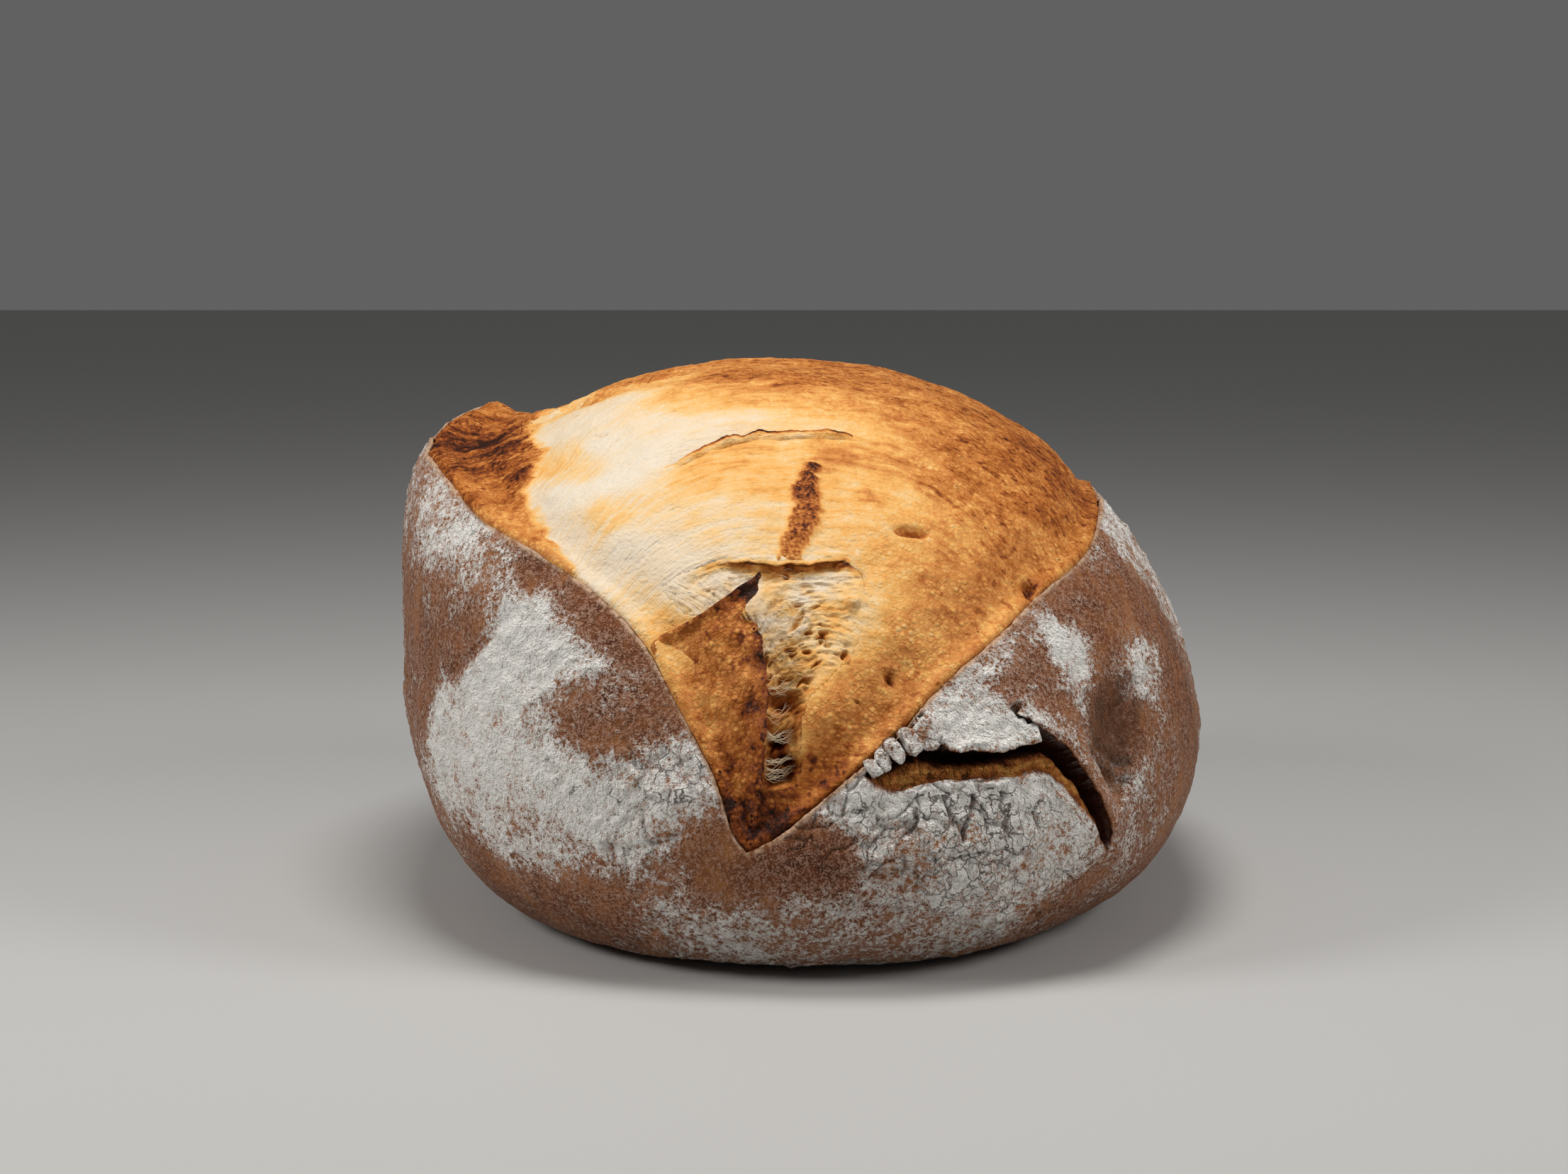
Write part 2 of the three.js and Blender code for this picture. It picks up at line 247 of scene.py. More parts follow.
def rim_at(share):
    """Compass angle and height of the rim, for shares from 0 to 1 of the way round."""
    knots = np.array(RIM, float)
    knots = np.vstack([2 * knots[0] - knots[1], knots, 2 * knots[-1] - knots[-2]])
    place = np.clip(share, 0, 1) * (len(RIM) - 1)
    i = np.minimum(place.astype(int), len(RIM) - 2) + 1
    t = (place - (i - 1))[..., None]
    slope_in, slope_out = (knots[i + 1] - knots[i - 1]) / 2, (knots[i + 2] - knots[i]) / 2
    curve = cubic(t, knots[i], knots[i + 1], slope_in, slope_out)
    return curve[..., 0], curve[..., 1]


def dome_radius(direction):
    """Distance from the dome's centre to its surface along unit directions."""
    x, y, z = np.abs(direction[..., 0]), np.abs(direction[..., 1]), np.abs(direction[..., 2])
    terms = [
        (x / np.where(direction[..., 0] > 0, DOME_REACH["right"], DOME_REACH["left"]), DOME_POWERS["across"]),
        (y / np.where(direction[..., 1] < 0, DOME_REACH["front"], DOME_REACH["back"]), DOME_POWERS["along"]),
        (z / DOME_HEIGHT, DOME_POWERS["up"]),
    ]
    radius = np.full(x.shape, DOME_HEIGHT)
    for _ in range(NEWTON_STEPS):
        parts = [(radius * scale) ** power for scale, power in terms]
        slope = sum(power * part for part, (_, power) in zip(parts, terms)) / radius
        radius = radius - (sum(parts) - 1) / slope
    return radius


print("crown is", round(float(DOME_CENTRE[2] + dome_radius(np.array([[0.0, 0.0, 1.0]]))[0]), 1), "mm high")

# %% [markdown]
# ## Columns
#
# The crust is woven from columns that start at the rim. The open end shows the finest detail, so the
# columns stand closer together in front than at the back.

# %% Columns
COLUMNS = 600
SPACING_BY_DEPTH = [(-70, 0.5), (-40, 1.0), (20, 2.2)]
FINE_SAMPLES = 6001


def column_shares():
    """Where the columns stand on the rim, as shares of the way round it."""
    fine = np.linspace(0, 1, FINE_SAMPLES)
    points = wall_points(*rim_at(fine))
    steps = np.linalg.norm(np.diff(points, axis=0), axis=1)
    depths, gaps = np.array(SPACING_BY_DEPTH).T
    spacing = np.interp(points[1:, 1], depths, gaps)
    weight = np.concatenate([[0], np.cumsum(steps / spacing)])
    return np.interp(np.arange(COLUMNS) / COLUMNS, weight / weight[-1], fine)


SHARES = column_shares()
RIM_AZIMUTH, RIM_HEIGHT = rim_at(SHARES)
RIM_POINTS = wall_points(RIM_AZIMUTH, RIM_HEIGHT)
spacing = np.linalg.norm(np.diff(RIM_POINTS, axis=0), axis=1)
print("columns:", COLUMNS, "spacing from", spacing.min().round(2), "to", spacing.max().round(2), "mm")

# %% [markdown]
# ## Repeatable roughness
#
# Baked dough is never smooth. Two kinds of noise cover most of it: a rolling one for swells and grain,
# and a cellular one for blisters and cracks. Both come from the same small hash of whole numbers, so
# the loaf is the same each time it is made.

# %% Noise
HASH_STRIDES = [np.uint32(stride) for stride in (374761393, 668265263, 2246822519)]
HASH_MIXER = np.uint32(1274126177)
SWELL_GAIN = 1.6


def hash01(cell, seed):
    """A repeatable number from 0 to 1 for each whole-number cell."""
    c = cell.astype(np.int64).astype(np.uint32)
    n = c[..., 0] * HASH_STRIDES[0] + c[..., 1] * HASH_STRIDES[1] + c[..., 2] * HASH_STRIDES[2]
    n = n + np.uint32(seed * 362437 + 1013)
    n = (n ^ (n >> np.uint32(13))) * HASH_MIXER
    n = n ^ (n >> np.uint32(16))
    return (n & np.uint32(0xFFFFFF)) / float(0x1000000)


def swells(points, size, seed, layers=1):
    """Rolling noise from about -1 to 1, with features of the given size in mm."""
    total, strength, most = 0.0, 1.0, 0.0
    for layer in range(layers):
        p = points * 2.0**layer / size + 17.3 * layer
        cell = np.floor(p)
        f = p - cell
        f = f * f * (3 - 2 * f)
        value = 0.0
        for corner in itertools.product((0, 1), repeat=3):
            weight = np.prod(np.where(np.array(corner) == 1, f, 1 - f), axis=-1)
            value = value + weight * hash01(cell + np.array(corner), seed + layer)
        total = total + strength * (2 * value - 1)
        most, strength = most + strength, strength * 0.5
    return total / most * SWELL_GAIN


def cells(points, size, seed):
    """Cellular noise: distances to the nearest and next seed, in cells, and the nearest one's number."""
    p = points / size
    cell = np.floor(p)
    nearest = np.full(p.shape[:-1], 9.0)
    second = nearest.copy()
    number = nearest.copy()
    for step in itertools.product((-1, 0, 1), repeat=3):
        at = cell + np.array(step)
        spot = at + np.stack([hash01(at, seed + k) for k in range(3)], axis=-1)
        distance = np.linalg.norm(spot - p, axis=-1)
        closer = distance < nearest
        second = np.where(closer, nearest, np.minimum(second, distance))
        number = np.where(closer, hash01(at, seed + 3), number)
        nearest = np.where(closer, distance, nearest)
    return nearest, second, number


sample = swells(RIM_POINTS, 12.0, 1, layers=2)
print("swell noise runs from", sample.min().round(2), "to", sample.max().round(2))

# %% [markdown]
# ## Outlines and lines
#
# Tears, creases and pits are drawn on the loaf as a baker would point them out: as outlines and lines
# on a flat chart of the surface. These helpers measure how far a point is inside an outline, or from a
# line.

# %% Outlines
def near_line(line, across, up):
    """Distance to a run of straight pieces, and how far along it the nearest place is, from 0 to 1."""
    best = np.full(np.shape(across), np.inf)
    share = np.zeros_like(best)
    for i, ((x0, y0), (x1, y1)) in enumerate(zip(line[:-1], line[1:])):
        run_x, run_y = x1 - x0, y1 - y0
        along = ((across - x0) * run_x + (up - y0) * run_y) / (run_x**2 + run_y**2)
        along = np.clip(along, 0, 1)
        distance = np.hypot(across - x0 - along * run_x, up - y0 - along * run_y)
        share = np.where(distance < best, (i + along) / (len(line) - 1), share)
        best = np.minimum(best, distance)
    return best, share


def inset(outline, across, up):
    """Distance inside a closed outline; outside it the distance is negative."""
    distance, _ = near_line(list(outline) + [outline[0]], across, up)
    inside = np.zeros(np.shape(across), bool)
    for (x0, y0), (x1, y1) in zip([outline[-1]] + list(outline[:-1]), outline):
        crosses = (y0 > up) != (y1 > up)
        with np.errstate(divide="ignore", invalid="ignore"):
            inside ^= crosses & (across < (x1 - x0) * (up - y0) / (y1 - y0) + x0)
    return np.where(inside, distance, -distance)


def groove(line, half_width, across, up, ends=0.15):
    """A furrow along a line that fades out at both of its ends: 1 at its floor, 0 away from it."""
    distance, share = near_line(line, across, up)
    return mound(distance, half_width) * smooth_step(0, ends, share) * smooth_step(0, ends, 1 - share)


unit_square = [(0, 0), (1, 0), (1, 1), (0, 1)]
middle = np.array([0.5])
print("middle of a unit square is", float(inset(unit_square, middle, middle)[0]), "inside")

# %% [markdown]
# ## From grids to meshes
#
# Each skin is first a grid of points in millimetres, with rows that run from one end to the other and
# columns that close in a ring. One function closes both ends and turns the grid into a mesh. It would
# be quicker to sculpt a ball, but a grid lets every tear and blister be placed by its measures.

# %% Grids and meshes
def grid_normals(grid):
    """Outward normals of a grid whose columns close in a ring."""
    round_it = np.roll(grid, -1, axis=1) - np.roll(grid, 1, axis=1)
    up_it = np.gradient(grid, axis=0)
    normals = np.cross(round_it, up_it)
    return normals / np.maximum(np.linalg.norm(normals, axis=-1, keepdims=True), 1e-9)


def closed_surfaces(name, grids, marks, ends=None):
    """One smooth mesh of closed skins, from grids of one size whose columns close in rings.

    Each grid's first and last rows close on a point, given in ends or else their own middle. The marks
    are values for the finish, which ride on the points.
    """
    count, rows, columns = grids.shape[:3]
    if ends is None:
        ends = grids[:, [0, -1]].mean(axis=2)
    here = np.arange(count * rows * columns).reshape(count, rows, columns)
    turned = np.roll(here, -1, axis=2)
    pole = here.size + np.arange(2 * count).reshape(count, 2, 1) + np.zeros(columns, int)
    quads = np.stack([here[:, :-1], turned[:, :-1], turned[:, 1:], here[:, 1:]], axis=-1).reshape(-1, 4)
    low_end = np.stack([pole[:, 0], turned[:, 0], here[:, 0]], axis=-1).reshape(-1, 3)
    high_end = np.stack([here[:, -1], turned[:, -1], pole[:, 1]], axis=-1).reshape(-1, 3)
    points = np.concatenate([grids.reshape(-1, 3), np.reshape(ends, (-1, 3))]) * MM
    mesh = bpy.data.meshes.new(name)
    mesh.from_pydata(points.tolist(), [], quads.tolist() + low_end.tolist() + high_end.tolist())
    for mark, values in marks.items():
        values = np.broadcast_to(values, (count, rows, columns)).astype(np.float32)
        values = np.concatenate([values.ravel(), values[:, [0, -1]].mean(axis=2).ravel()])
        mesh.attributes.new(mark, "FLOAT", "POINT").data.foreach_set("value", values)
    mesh.shade_smooth()
    piece = bpy.data.objects.new(name, mesh)
    bpy.context.collection.objects.link(piece)
    print(f"{name}: {2 * len(quads) + 2 * count * columns} triangles")
    return piece


turns = np.linspace(0, 2 * math.pi, 8, endpoint=False)
tube = np.array([[(math.cos(turn), math.sin(turn), height) for turn in turns] for height in range(3)])
print("normals of an upright tube, dot its radii:", (grid_normals(tube) * tube).sum(axis=-1)[0].round(2))

# %% [markdown]
# ## Sheets, marks and readings
#
# A torn edge or a flap is a sheet with two sides, which closes in a ring as the big skins do. What the
# finishes need to know of a spot, such as how floury or how brown it is, rides on the mesh's points as a
# mark. Such values come from readings at a few places, with a smooth field through them.

# %% Sheets and readings
def all_marks(names, like, **given):
    """Every mark that a finish reads, in the shape of like: those that are given, and 0 for the others."""
    return {name: given.get(name, 0 * like) for name in names}


def stacked(marks):
    """The marks of several grids as one set."""
    return {name: np.stack([mark[name] for mark in marks]) for name in marks[0]}


def two_sided(top, out, thickness):
    """A sheet's grid: its top, then its underside in reverse, so that the columns close in a ring."""
    return np.concatenate([top, (top - out * thickness[..., None])[:, ::-1]], axis=1)


def on_both(values):
    """A top's values, repeated for the underside."""
    return np.concatenate([values, values[:, ::-1]], axis=1)


def sheet_piece(name, top, out, thickness, marks):
    """One closed sheet with the same marks on both of its sides."""
    marks = {mark: on_both(values)[None] for mark, values in marks.items()}
    return closed_surfaces(name, two_sided(top, out, thickness)[None], marks)


def from_readings(readings, across, up, up_scale, softness=3.0):
    """A smooth field through readings of (across, up, value), each counting for less the further it is."""
    total = np.zeros(np.shape(across))
    weights = np.zeros_like(total)
    for at_across, at_up, value in readings:
        squared = (across - at_across) ** 2 + ((up - at_up) * up_scale) ** 2
        weight = (squared + softness**2) ** -2.0
        total += weight * value
        weights += weight
    return total / weights


sheet = two_sided(np.zeros((3, 4, 3)), 0.0, np.ones((3, 4)))
print("a sheet of 3 by 4 points has", sheet.shape, "when closed")

# %% [markdown]
# ## The wall as a grid
#
# The rows are spaced evenly along each column, from the foot to the rim, so that the tuck under the
# loaf gets as many as its length asks for.

# %% Wall grid
WALL_ROWS = 150
DENSE_ROWS = 401
FOOT_EVENNESS = 0.25


def wall_grid():
    """Compass angles and points of the smooth wall, from foot to rim."""
    foot_azimuth = RIM_AZIMUTH + (RIM[0][0] + 360 * SHARES - RIM_AZIMUTH) * FOOT_EVENNESS

    def at(level):
        azimuth = foot_azimuth + (RIM_AZIMUTH - foot_azimuth) * level
        return azimuth, wall_points(azimuth, RIM_HEIGHT * level)

    dense = np.linspace(0, 1, DENSE_ROWS)[:, None] ** 1.6
    steps = np.linalg.norm(np.diff(at(dense)[1], axis=0), axis=-1)
    travelled = np.vstack([np.zeros(COLUMNS), np.cumsum(steps, axis=0)])
    even = np.linspace(0, 1, WALL_ROWS + 1)
    level = [np.interp(even, run / run[-1], dense[:, 0]) for run in travelled.T]
    azimuth, points = at(np.stack(level, axis=1))
    return azimuth, points, travelled[-1] * (1 - even[:, None])


wall_azimuth, wall_smooth, below_rim = wall_grid()
wall_out = grid_normals(wall_smooth)
print("wall grid:", wall_smooth.shape[:2], "rows about", round(float(below_rim[-2].mean()), 2), "mm apart")

# %% [markdown]
# ## Torn edges
#
# Skin that tore while it baked ends in a thin ragged edge that stands off what lies below it, and the
# gap under it is what makes a tear read as a tear. A grid of the whole wall is too coarse for that, so
# each such edge is a narrow sheet of its own, rooted in the skin on one side of the tear.

# %% Torn sheets
SHEET_ROWS, SHEET_COLUMNS = 240, 14
ROOT_SINK = 0.3
RAG_SIZE, CURL_SIZE, SHEET_LUMP_SIZE = 2.6, 6.0, 1.1
SHEET_LUMPS = 0.14
SLOPE_STEP = 0.05
HALVINGS = 30


def torn_sheet(line, root, lift, thickness, ragged, fade, place, seed):
    """A sheet whose free edge runs along a line on a chart; root is the way back to where it is rooted.

    It fades away over the length fade at both ends. place turns chart coordinates into surface points and
    outward directions. Returns the closed grid, its chart coordinates, and the share of the way from the
    root to the free edge.
    """
    knots = np.array(line, float)
    travelled = np.concatenate([[0], np.cumsum(np.hypot(*np.diff(knots, axis=0).T))])
    run = np.linspace(0, travelled[-1], SHEET_ROWS)[:, None]
    to_edge = np.linspace(0, 1, SHEET_COLUMNS)[None, :]
    rag = swells(np.stack([run, run * 0 + seed, run * 0], axis=-1), RAG_SIZE, seed, layers=4)
    pull_back = (1 - to_edge) + (0.5 - rag) * ragged * to_edge
    across = np.interp(run, travelled, knots[:, 0]) + root[0] * pull_back
    up = np.interp(run, travelled, knots[:, 1]) + root[1] * pull_back
    points, out = place(across, up)
    ends = smooth_step(0, fade, run) * smooth_step(0, fade, travelled[-1] - run)
    curl = swells(np.stack([run, run * 0, run * 0 + seed], axis=-1), CURL_SIZE, seed + 1, layers=2)
    lumps = SHEET_LUMPS * swells(points, SHEET_LUMP_SIZE, seed + 2, layers=2) * ends
    rise = (ROOT_SINK + lift * (1 + 0.3 * curl)) * ends * smooth_step(0, 0.75, to_edge)
    height = -ROOT_SINK + rise + lumps
    thick = thickness * (0.25 + 0.75 * ends) * (1 - 0.6 * to_edge**8) + 0 * run
    grid = two_sided(points + out * height[..., None], out, thick)
    return grid, on_both(across), on_both(up), on_both(to_edge + 0 * run)


def wall_at(x, z):
    """Points and outward directions on the front of the smooth wall, at millimetres across and up."""
    low, high = np.full(np.shape(x), 180.0), np.full(np.shape(x), 360.0)
    for _ in range(HALVINGS):
        azimuth = (low + high) / 2
        too_far = wall_points(azimuth, z)[..., 0] > x
        low, high = np.where(too_far, low, azimuth), np.where(too_far, azimuth, high)
    points = wall_points(azimuth, z)
    beside, above = wall_points(azimuth + SLOPE_STEP, z), wall_points(azimuth, z + SLOPE_STEP)
    out = np.cross(beside - points, above - points)
    return points, out / np.linalg.norm(out, axis=-1, keepdims=True)


print("wall at 30 across, 40 up:", wall_at(np.array([30.0]), np.array([40.0]))[0].round(1))

# %% [markdown]
# ## What happened to the wall in the oven
#
# On the right of the open end the wall split a second time. The floured skin broke along a ragged line,
# its top edge lifted, and a lobe pushed out below it. Torn brown dough shows in the gap, and a crease
# carries the split down the side. The lobe's skin stretched after it had dried, so it crazed.
#
# These features are drawn on a chart of millimetres across and up, as seen from the open end. Breaks
# run up into the slab, wrinkles lie beside the crease, and crazing covers the lobe.

# %% Side burst
BURST_TOP = [
    # up over the lumps beside the rim
    (10.6, 41.8), (13.6, 45), (16.8, 47.6), (20, 50), (22.4, 50.6), (24.5, 48), (26.9, 46.2),
    # along the slab and up into the break at its end
    (30.7, 46.2), (36.2, 45.4), (39.8, 46.1), (43.2, 46.3), (41.6, 49), (40, 51.1),
    # down beside the crease
    (43.4, 49.3), (46.6, 47.1), (49.5, 44.7), (51.7, 42.1), (53.6, 39.1), (55.1, 36.1), (56.4, 32.2),
    (57, 28), (56.8, 23.5),
]
BURST_FLOOR = [
    (10.6, 41.8), (12.6, 40), (16, 38.7), (20.4, 39), (24.5, 39.8), (29.3, 39.7), (34.1, 40), (38.7, 39.9),
    (43.3, 40.5), (45.8, 39.5), (48.4, 36.8), (51.7, 32.5), (54.4, 29.1), (55.6, 26), (56.8, 23.5),
]
BURST_DEPTH, TORN_BED_DEPTH = 7.5, 0.7
BURST_LIP_RISE, BURST_LIP_REACH = 0.9, 3.0
BURST_RAGGEDNESS, BURST_RAG_SIZE = 0.3, 2.2
BREAK_DEPTH, CRAZING_DEPTH, WRINKLE_DEPTH = 1.9, 1.0, 1.1
BREAK_HALF_WIDTH, CRAZING_HALF_WIDTH, WRINKLE_HALF_WIDTH = 0.75, 0.42, 0.9
BURST_FRONT, LOBE_FRONT = -40, -60
BREAKS = [[(40.2, 50.8), (38.8, 53)], [(22, 50.2), (21, 52.4)]]
WRINKLES = [
    [(54.5, 44), (56.5, 39.5), (60, 36), (64, 35)], [(56.5, 45.5), (58.5, 41.5), (61.5, 39), (65, 38)],
    [(55, 40), (58, 35.5), (62, 32.5)],
]
CRAZING = [
    [(25, 39.4), (25.2, 37), (26, 34.5), (27, 32.8), (29, 31.6)],
    [(31, 40), (31, 36.6), (30, 34), (29, 31.6), (28.6, 28)],
    [(32.4, 36.4), (32, 34.4), (33, 32), (36, 31.8)],
    [(36, 40.2), (36.2, 37), (35.4, 34.6), (37, 33), (36, 31.8), (37.5, 29)],
    [(44, 36), (42, 33), (43, 30)], [(19.5, 36), (20.5, 33), (19, 30.5)],
]
LOBE = {"x": 32, "z": 26, "half_width": 24, "half_height": 16, "rise": 2.6}
DIMPLE = {"x": 61, "z": 47, "half_width": 7, "half_height": 10, "rise": -2.2}


def hill(shape, x, z):
    """A soft rise of the given shape, or a hollow where its rise is negative."""
    across, up = (x - shape["x"]) / shape["half_width"], (z - shape["z"]) / shape["half_height"]
    return shape["rise"] * mound(np.hypot(across, up), 1.0)


def burst_swell(x, z):
    """Relief round the burst: the lobe below it, the dimple beside it and its lifted upper edge."""
    lifted = BURST_LIP_RISE * mound(near_line(BURST_TOP, x, z)[0], BURST_LIP_REACH)
    return hill(LOBE, x, z), hill(DIMPLE, x, z) + lifted


def side_burst(points):
    """Relief of the burst and, at points on the wall, marks for torn dough, painted shade and cracks."""
    x = points[..., 0] + BURST_RAGGEDNESS * swells(points, BURST_RAG_SIZE, 11, layers=2)
    z = points[..., 2] + BURST_RAGGEDNESS * swells(points, BURST_RAG_SIZE, 21, layers=2)
    inside = inset(BURST_TOP + BURST_FLOOR[-2:0:-1], x, z)
    to_top, _ = near_line(BURST_TOP, x, z)
    to_floor, _ = near_line(BURST_FLOOR, x, z)
    down_it = to_top / (to_top + to_floor + 1e-6)
    opened = smooth_step(-0.3, 0.8, inside)
    fibres = swells(points * [1, 1, 0.35], 1.2, 31, layers=2)
    deepest = np.minimum(BURST_DEPTH, 1.6 * (to_top + to_floor))
    depth = opened * (deepest * (1 - smooth_step(0.0, 0.7, down_it)) + TORN_BED_DEPTH + 0.45 * fibres)
    breaks = sum(groove(line, BREAK_HALF_WIDTH, x, z, ends=0.02) for line in BREAKS)
    crazing = sum(groove(line, CRAZING_HALF_WIDTH, x, z) for line in CRAZING)
    wrinkles = sum(groove(line, WRINKLE_HALF_WIDTH, x, z) for line in WRINKLES)
    in_front = points[..., 1] < BURST_FRONT
    lobe, around = burst_swell(x, z)
    relief = (lobe + around) * (1 - opened) - depth
    relief = relief - BREAK_DEPTH * breaks - CRAZING_DEPTH * crazing - WRINKLE_DEPTH * wrinkles
    scorched = (1.2 + 0.4 * fibres) * hill(DIMPLE, x, z) / DIMPLE["rise"]
    cracks = np.clip(breaks + crazing + scorched + 0.4 * wrinkles, 0, 1)
    # painted shade: darkest under the slab's top edge and along the floor of the gap
    deep = np.maximum(smooth_step(0.7, 0.3, down_it), 0.45 * mound(to_floor, 0.9))
    marks = {"torn": smooth_step(-0.5, 0.0, inside), "deep": deep, "crack": cracks}
    return relief * in_front, {mark: values * in_front for mark, values in marks.items()}


burst_relief, burst_marks = side_burst(wall_smooth)
print("deepest point of the burst:", round(float(burst_relief.min()), 1), "mm")

# %% [markdown]
# ## Flour and skin
#
# The loaf was proved in a floured basket. Where flour stayed thick it caked, and the cake crumbled and
# cracked as the dough grew under it. Where it was brushed or stretched thin, the baked brown skin shows
# through. The readings below say how floury the wall is, as compass angle, height and amount.

# %% Flour chart
FLOUR_READINGS = [
    # thick flour down the left of the open end
    (238, 66, 1.0), (241, 70, 0.95), (232, 53, 0.95), (236, 58, 1.0), (243, 63, 1.0), (248, 61, 0.8),
    (226, 49, 0.85),
    # bare skin along the rim above it
    (239, 77, 0.15), (243, 72, 0.3), (249, 68, 0.15), (252, 64, 0.15), (245, 76, 0.1),
    # thin flour further left, and more again below the ear
    (219, 60, 0.25), (226, 57, 0.3), (217, 51, 0.35), (229, 64, 0.35), (219, 67, 0.4), (218, 80, 0.75),
    (228, 80, 0.7), (217, 88, 0.75), (233, 75, 0.6),
    # thin flour left of the V
    (250, 54, 0.35), (255, 55, 0.3), (252, 58, 0.5), (249, 51, 0.35),
    # the floured belly on the left
    (226, 39, 0.9), (237, 42, 0.9), (244, 39, 0.85), (250, 35, 0.88), (255, 37, 0.88), (259, 41, 0.8),
    (235, 26, 0.75), (243, 23, 0.75),
    # the tuck below it, the skin under the V and the foot in front
    (231, 15, 0.2), (242, 15, 0.25), (248, 14, 0.3), (263, 27, 0.25), (266, 27, 0.25), (257, 9, 0.6),
    (265, 11, 0.65), (270, 14, 0.6), (278, 11, 0.6),
    # the lobe
    (275, 37, 0.85), (280, 36, 0.9), (285, 36, 0.92), (291, 37, 0.95), (296, 33, 0.85), (285, 26, 0.8),
    (294, 24, 0.8), (278, 29, 0.65), (271, 27, 0.15),
    # the slab over the side burst
    (280, 51, 0.75), (286, 56, 0.8), (291, 61, 0.7), (288, 49, 0.95), (292, 48, 0.9), (284, 47, 0.9),
    (292, 57, 0.4), (297, 54, 0.3), (296, 60, 0.25),
    # two white patches up on the right
    (299, 62, 1.0), (301, 60, 0.95), (298, 56, 0.6), (313, 55, 0.8), (317, 57, 0.7), (310, 54, 0.5),
    # bare skin round them, and flour along the rim
    (308, 70, 0.25), (316, 70, 0.2), (320, 64, 0.2), (302, 69, 0.3), (308, 63, 0.2), (327, 58, 0.2),
    (338, 82, 0.8), (330, 79, 0.7), (315, 77, 0.5),
    # the dimple and the slope beside it
    (307, 51, 0.2), (309, 46, 0.2), (310, 35, 0.5), (317, 38, 0.45), (305, 34, 0.55), (314, 29, 0.5),
    (323, 36, 0.35), (329, 45, 0.2), (322, 50, 0.2), (300, 12, 0.4), (320, 12, 0.3),
    # the right side, the back and the left side
    (340, 40, 0.5), (350, 62, 0.7), (0, 30, 0.3), (10, 74, 0.6), (22, 45, 0.75), (38, 24, 0.5),
    (50, 55, 0.4), (62, 38, 0.8), (80, 30, 0.35), (95, 26, 0.6), (112, 50, 0.45), (126, 30, 0.7),
    (140, 72, 0.75), (152, 44, 0.4), (165, 22, 0.5), (172, 80, 0.6), (184, 55, 0.75), (196, 90, 0.6),
    (198, 34, 0.5), (207, 62, 0.35), (208, 18, 0.3), (90, 8, 0.2),
]
MM_PER_DEGREE = 1.7
FLOUR_SOFTNESS = 1.7
CHART_OVERLAP = 60


def flour_amount(azimuth, height):
    """How floury the wall is, from 0 to 1; readings near the chart's ends also count past the other end."""
    turned = [
        (angle + turn, z, amount)
        for turn in (-360, 0, 360)
        for angle, z, amount in FLOUR_READINGS
        if -CHART_OVERLAP < angle + turn < 360 + CHART_OVERLAP
    ]
    return from_readings(turned, np.mod(azimuth, 360), height, 1 / MM_PER_DEGREE, FLOUR_SOFTNESS)


flour = flour_amount(wall_azimuth, wall_smooth[..., 2])
print("flour covers about", round(100 * float(flour.mean())), "percent of the wall")

# %% [markdown]
# ## Relief of the wall
#
# Three sizes of unevenness add up: slow swells from shaping by hand, flour clumps of a millimetre or
# two, and fine cracks in the caked flour. The creases are where the skin folded as it opened. They are
# lines of compass angle and height.

# %% Wall relief
CREASES = [
    # three on the left
    [(237, 71), (234, 64), (230, 59), (221, 50)], [(225.5, 47), (224.6, 33), (223, 25)],
    [(247, 25), (253.8, 27), (259, 31)],
    # two short ones right of the side burst
    [(302.5, 40), (304, 36.5), (307, 34)], [(303, 34.5), (305, 31)],
]
CREASE_DEPTH, CREASE_HALF_WIDTH = 0.9, 1.1
CRACK_CELL, CRACK_WARP, CRACK_HALF_WIDTH, CRACK_DEPTH = 6.5, 1.6, 0.055, 0.55
CRACKED_X, CRACKED_Z, CRACKED_REACH = 30, 28, 22


def flour_cracks(points, strength):
    """Thin branching cracks in caked flour: the seams of a warped cell pattern."""
    warp = np.stack([swells(points, 5.0, seed, layers=2) for seed in (41, 44, 47)], axis=-1)
    nearest, second, _ = cells(points + CRACK_WARP * warp, CRACK_CELL, 51)
    seams = mound(second - nearest, CRACK_HALF_WIDTH)
    patchy = smooth_step(-0.1, 0.8, swells(points, 16.0, 55) + strength)
    return seams * patchy


def creases_at(azimuth, height):
    """1 at the floor of a crease, 0 away from all of them."""
    across = azimuth * MM_PER_DEGREE
    lines = [[(angle * MM_PER_DEGREE, z) for angle, z in line] for line in CREASES]
    return sum(groove(line, CREASE_HALF_WIDTH, across, height) for line in lines)


def wall_relief(azimuth, points, flour):
    """Height of the wall's unevenness in mm, and how cracked its flour is."""
    from_lobe = np.hypot(points[..., 0] - CRACKED_X, points[..., 2] - CRACKED_Z)
    on_lobe = mound(from_lobe, CRACKED_REACH) * (points[..., 1] < LOBE_FRONT)
    cracks = flour_cracks(points, on_lobe * 1.2 - 0.5)
    clumps = swells(points, 2.4, 61, layers=2) * 0.4 + np.maximum(swells(points, 1.3, 65), 0) * 0.35
    slow = swells(points, 30.0, 71) * 0.8 + swells(points, 9.0, 75, layers=2) * 0.35
    relief = slow + clumps * smooth_step(0.2, 0.8, flour) - CRACK_DEPTH * cracks
    return relief - CREASE_DEPTH * creases_at(azimuth, points[..., 2]), cracks


relief, cracks = wall_relief(np.mod(wall_azimuth, 360), wall_smooth, flour)
above_foot = smooth_step(0, 4, wall_smooth[..., 2])
wall = wall_smooth + wall_out * (relief * above_foot + burst_relief)[..., None]
wall[..., 2] = np.maximum(wall[..., 2], 0)
print("wall relief runs from", round(float(relief.min()), 1), "to", round(float(relief.max()), 1), "mm")

# %% [markdown]
# ## The lip
#
# Along the split the crust ends in a thin rounded edge that curls slightly over the crumb. It holds
# hardly any flour, because it only came to light as the cut opened.

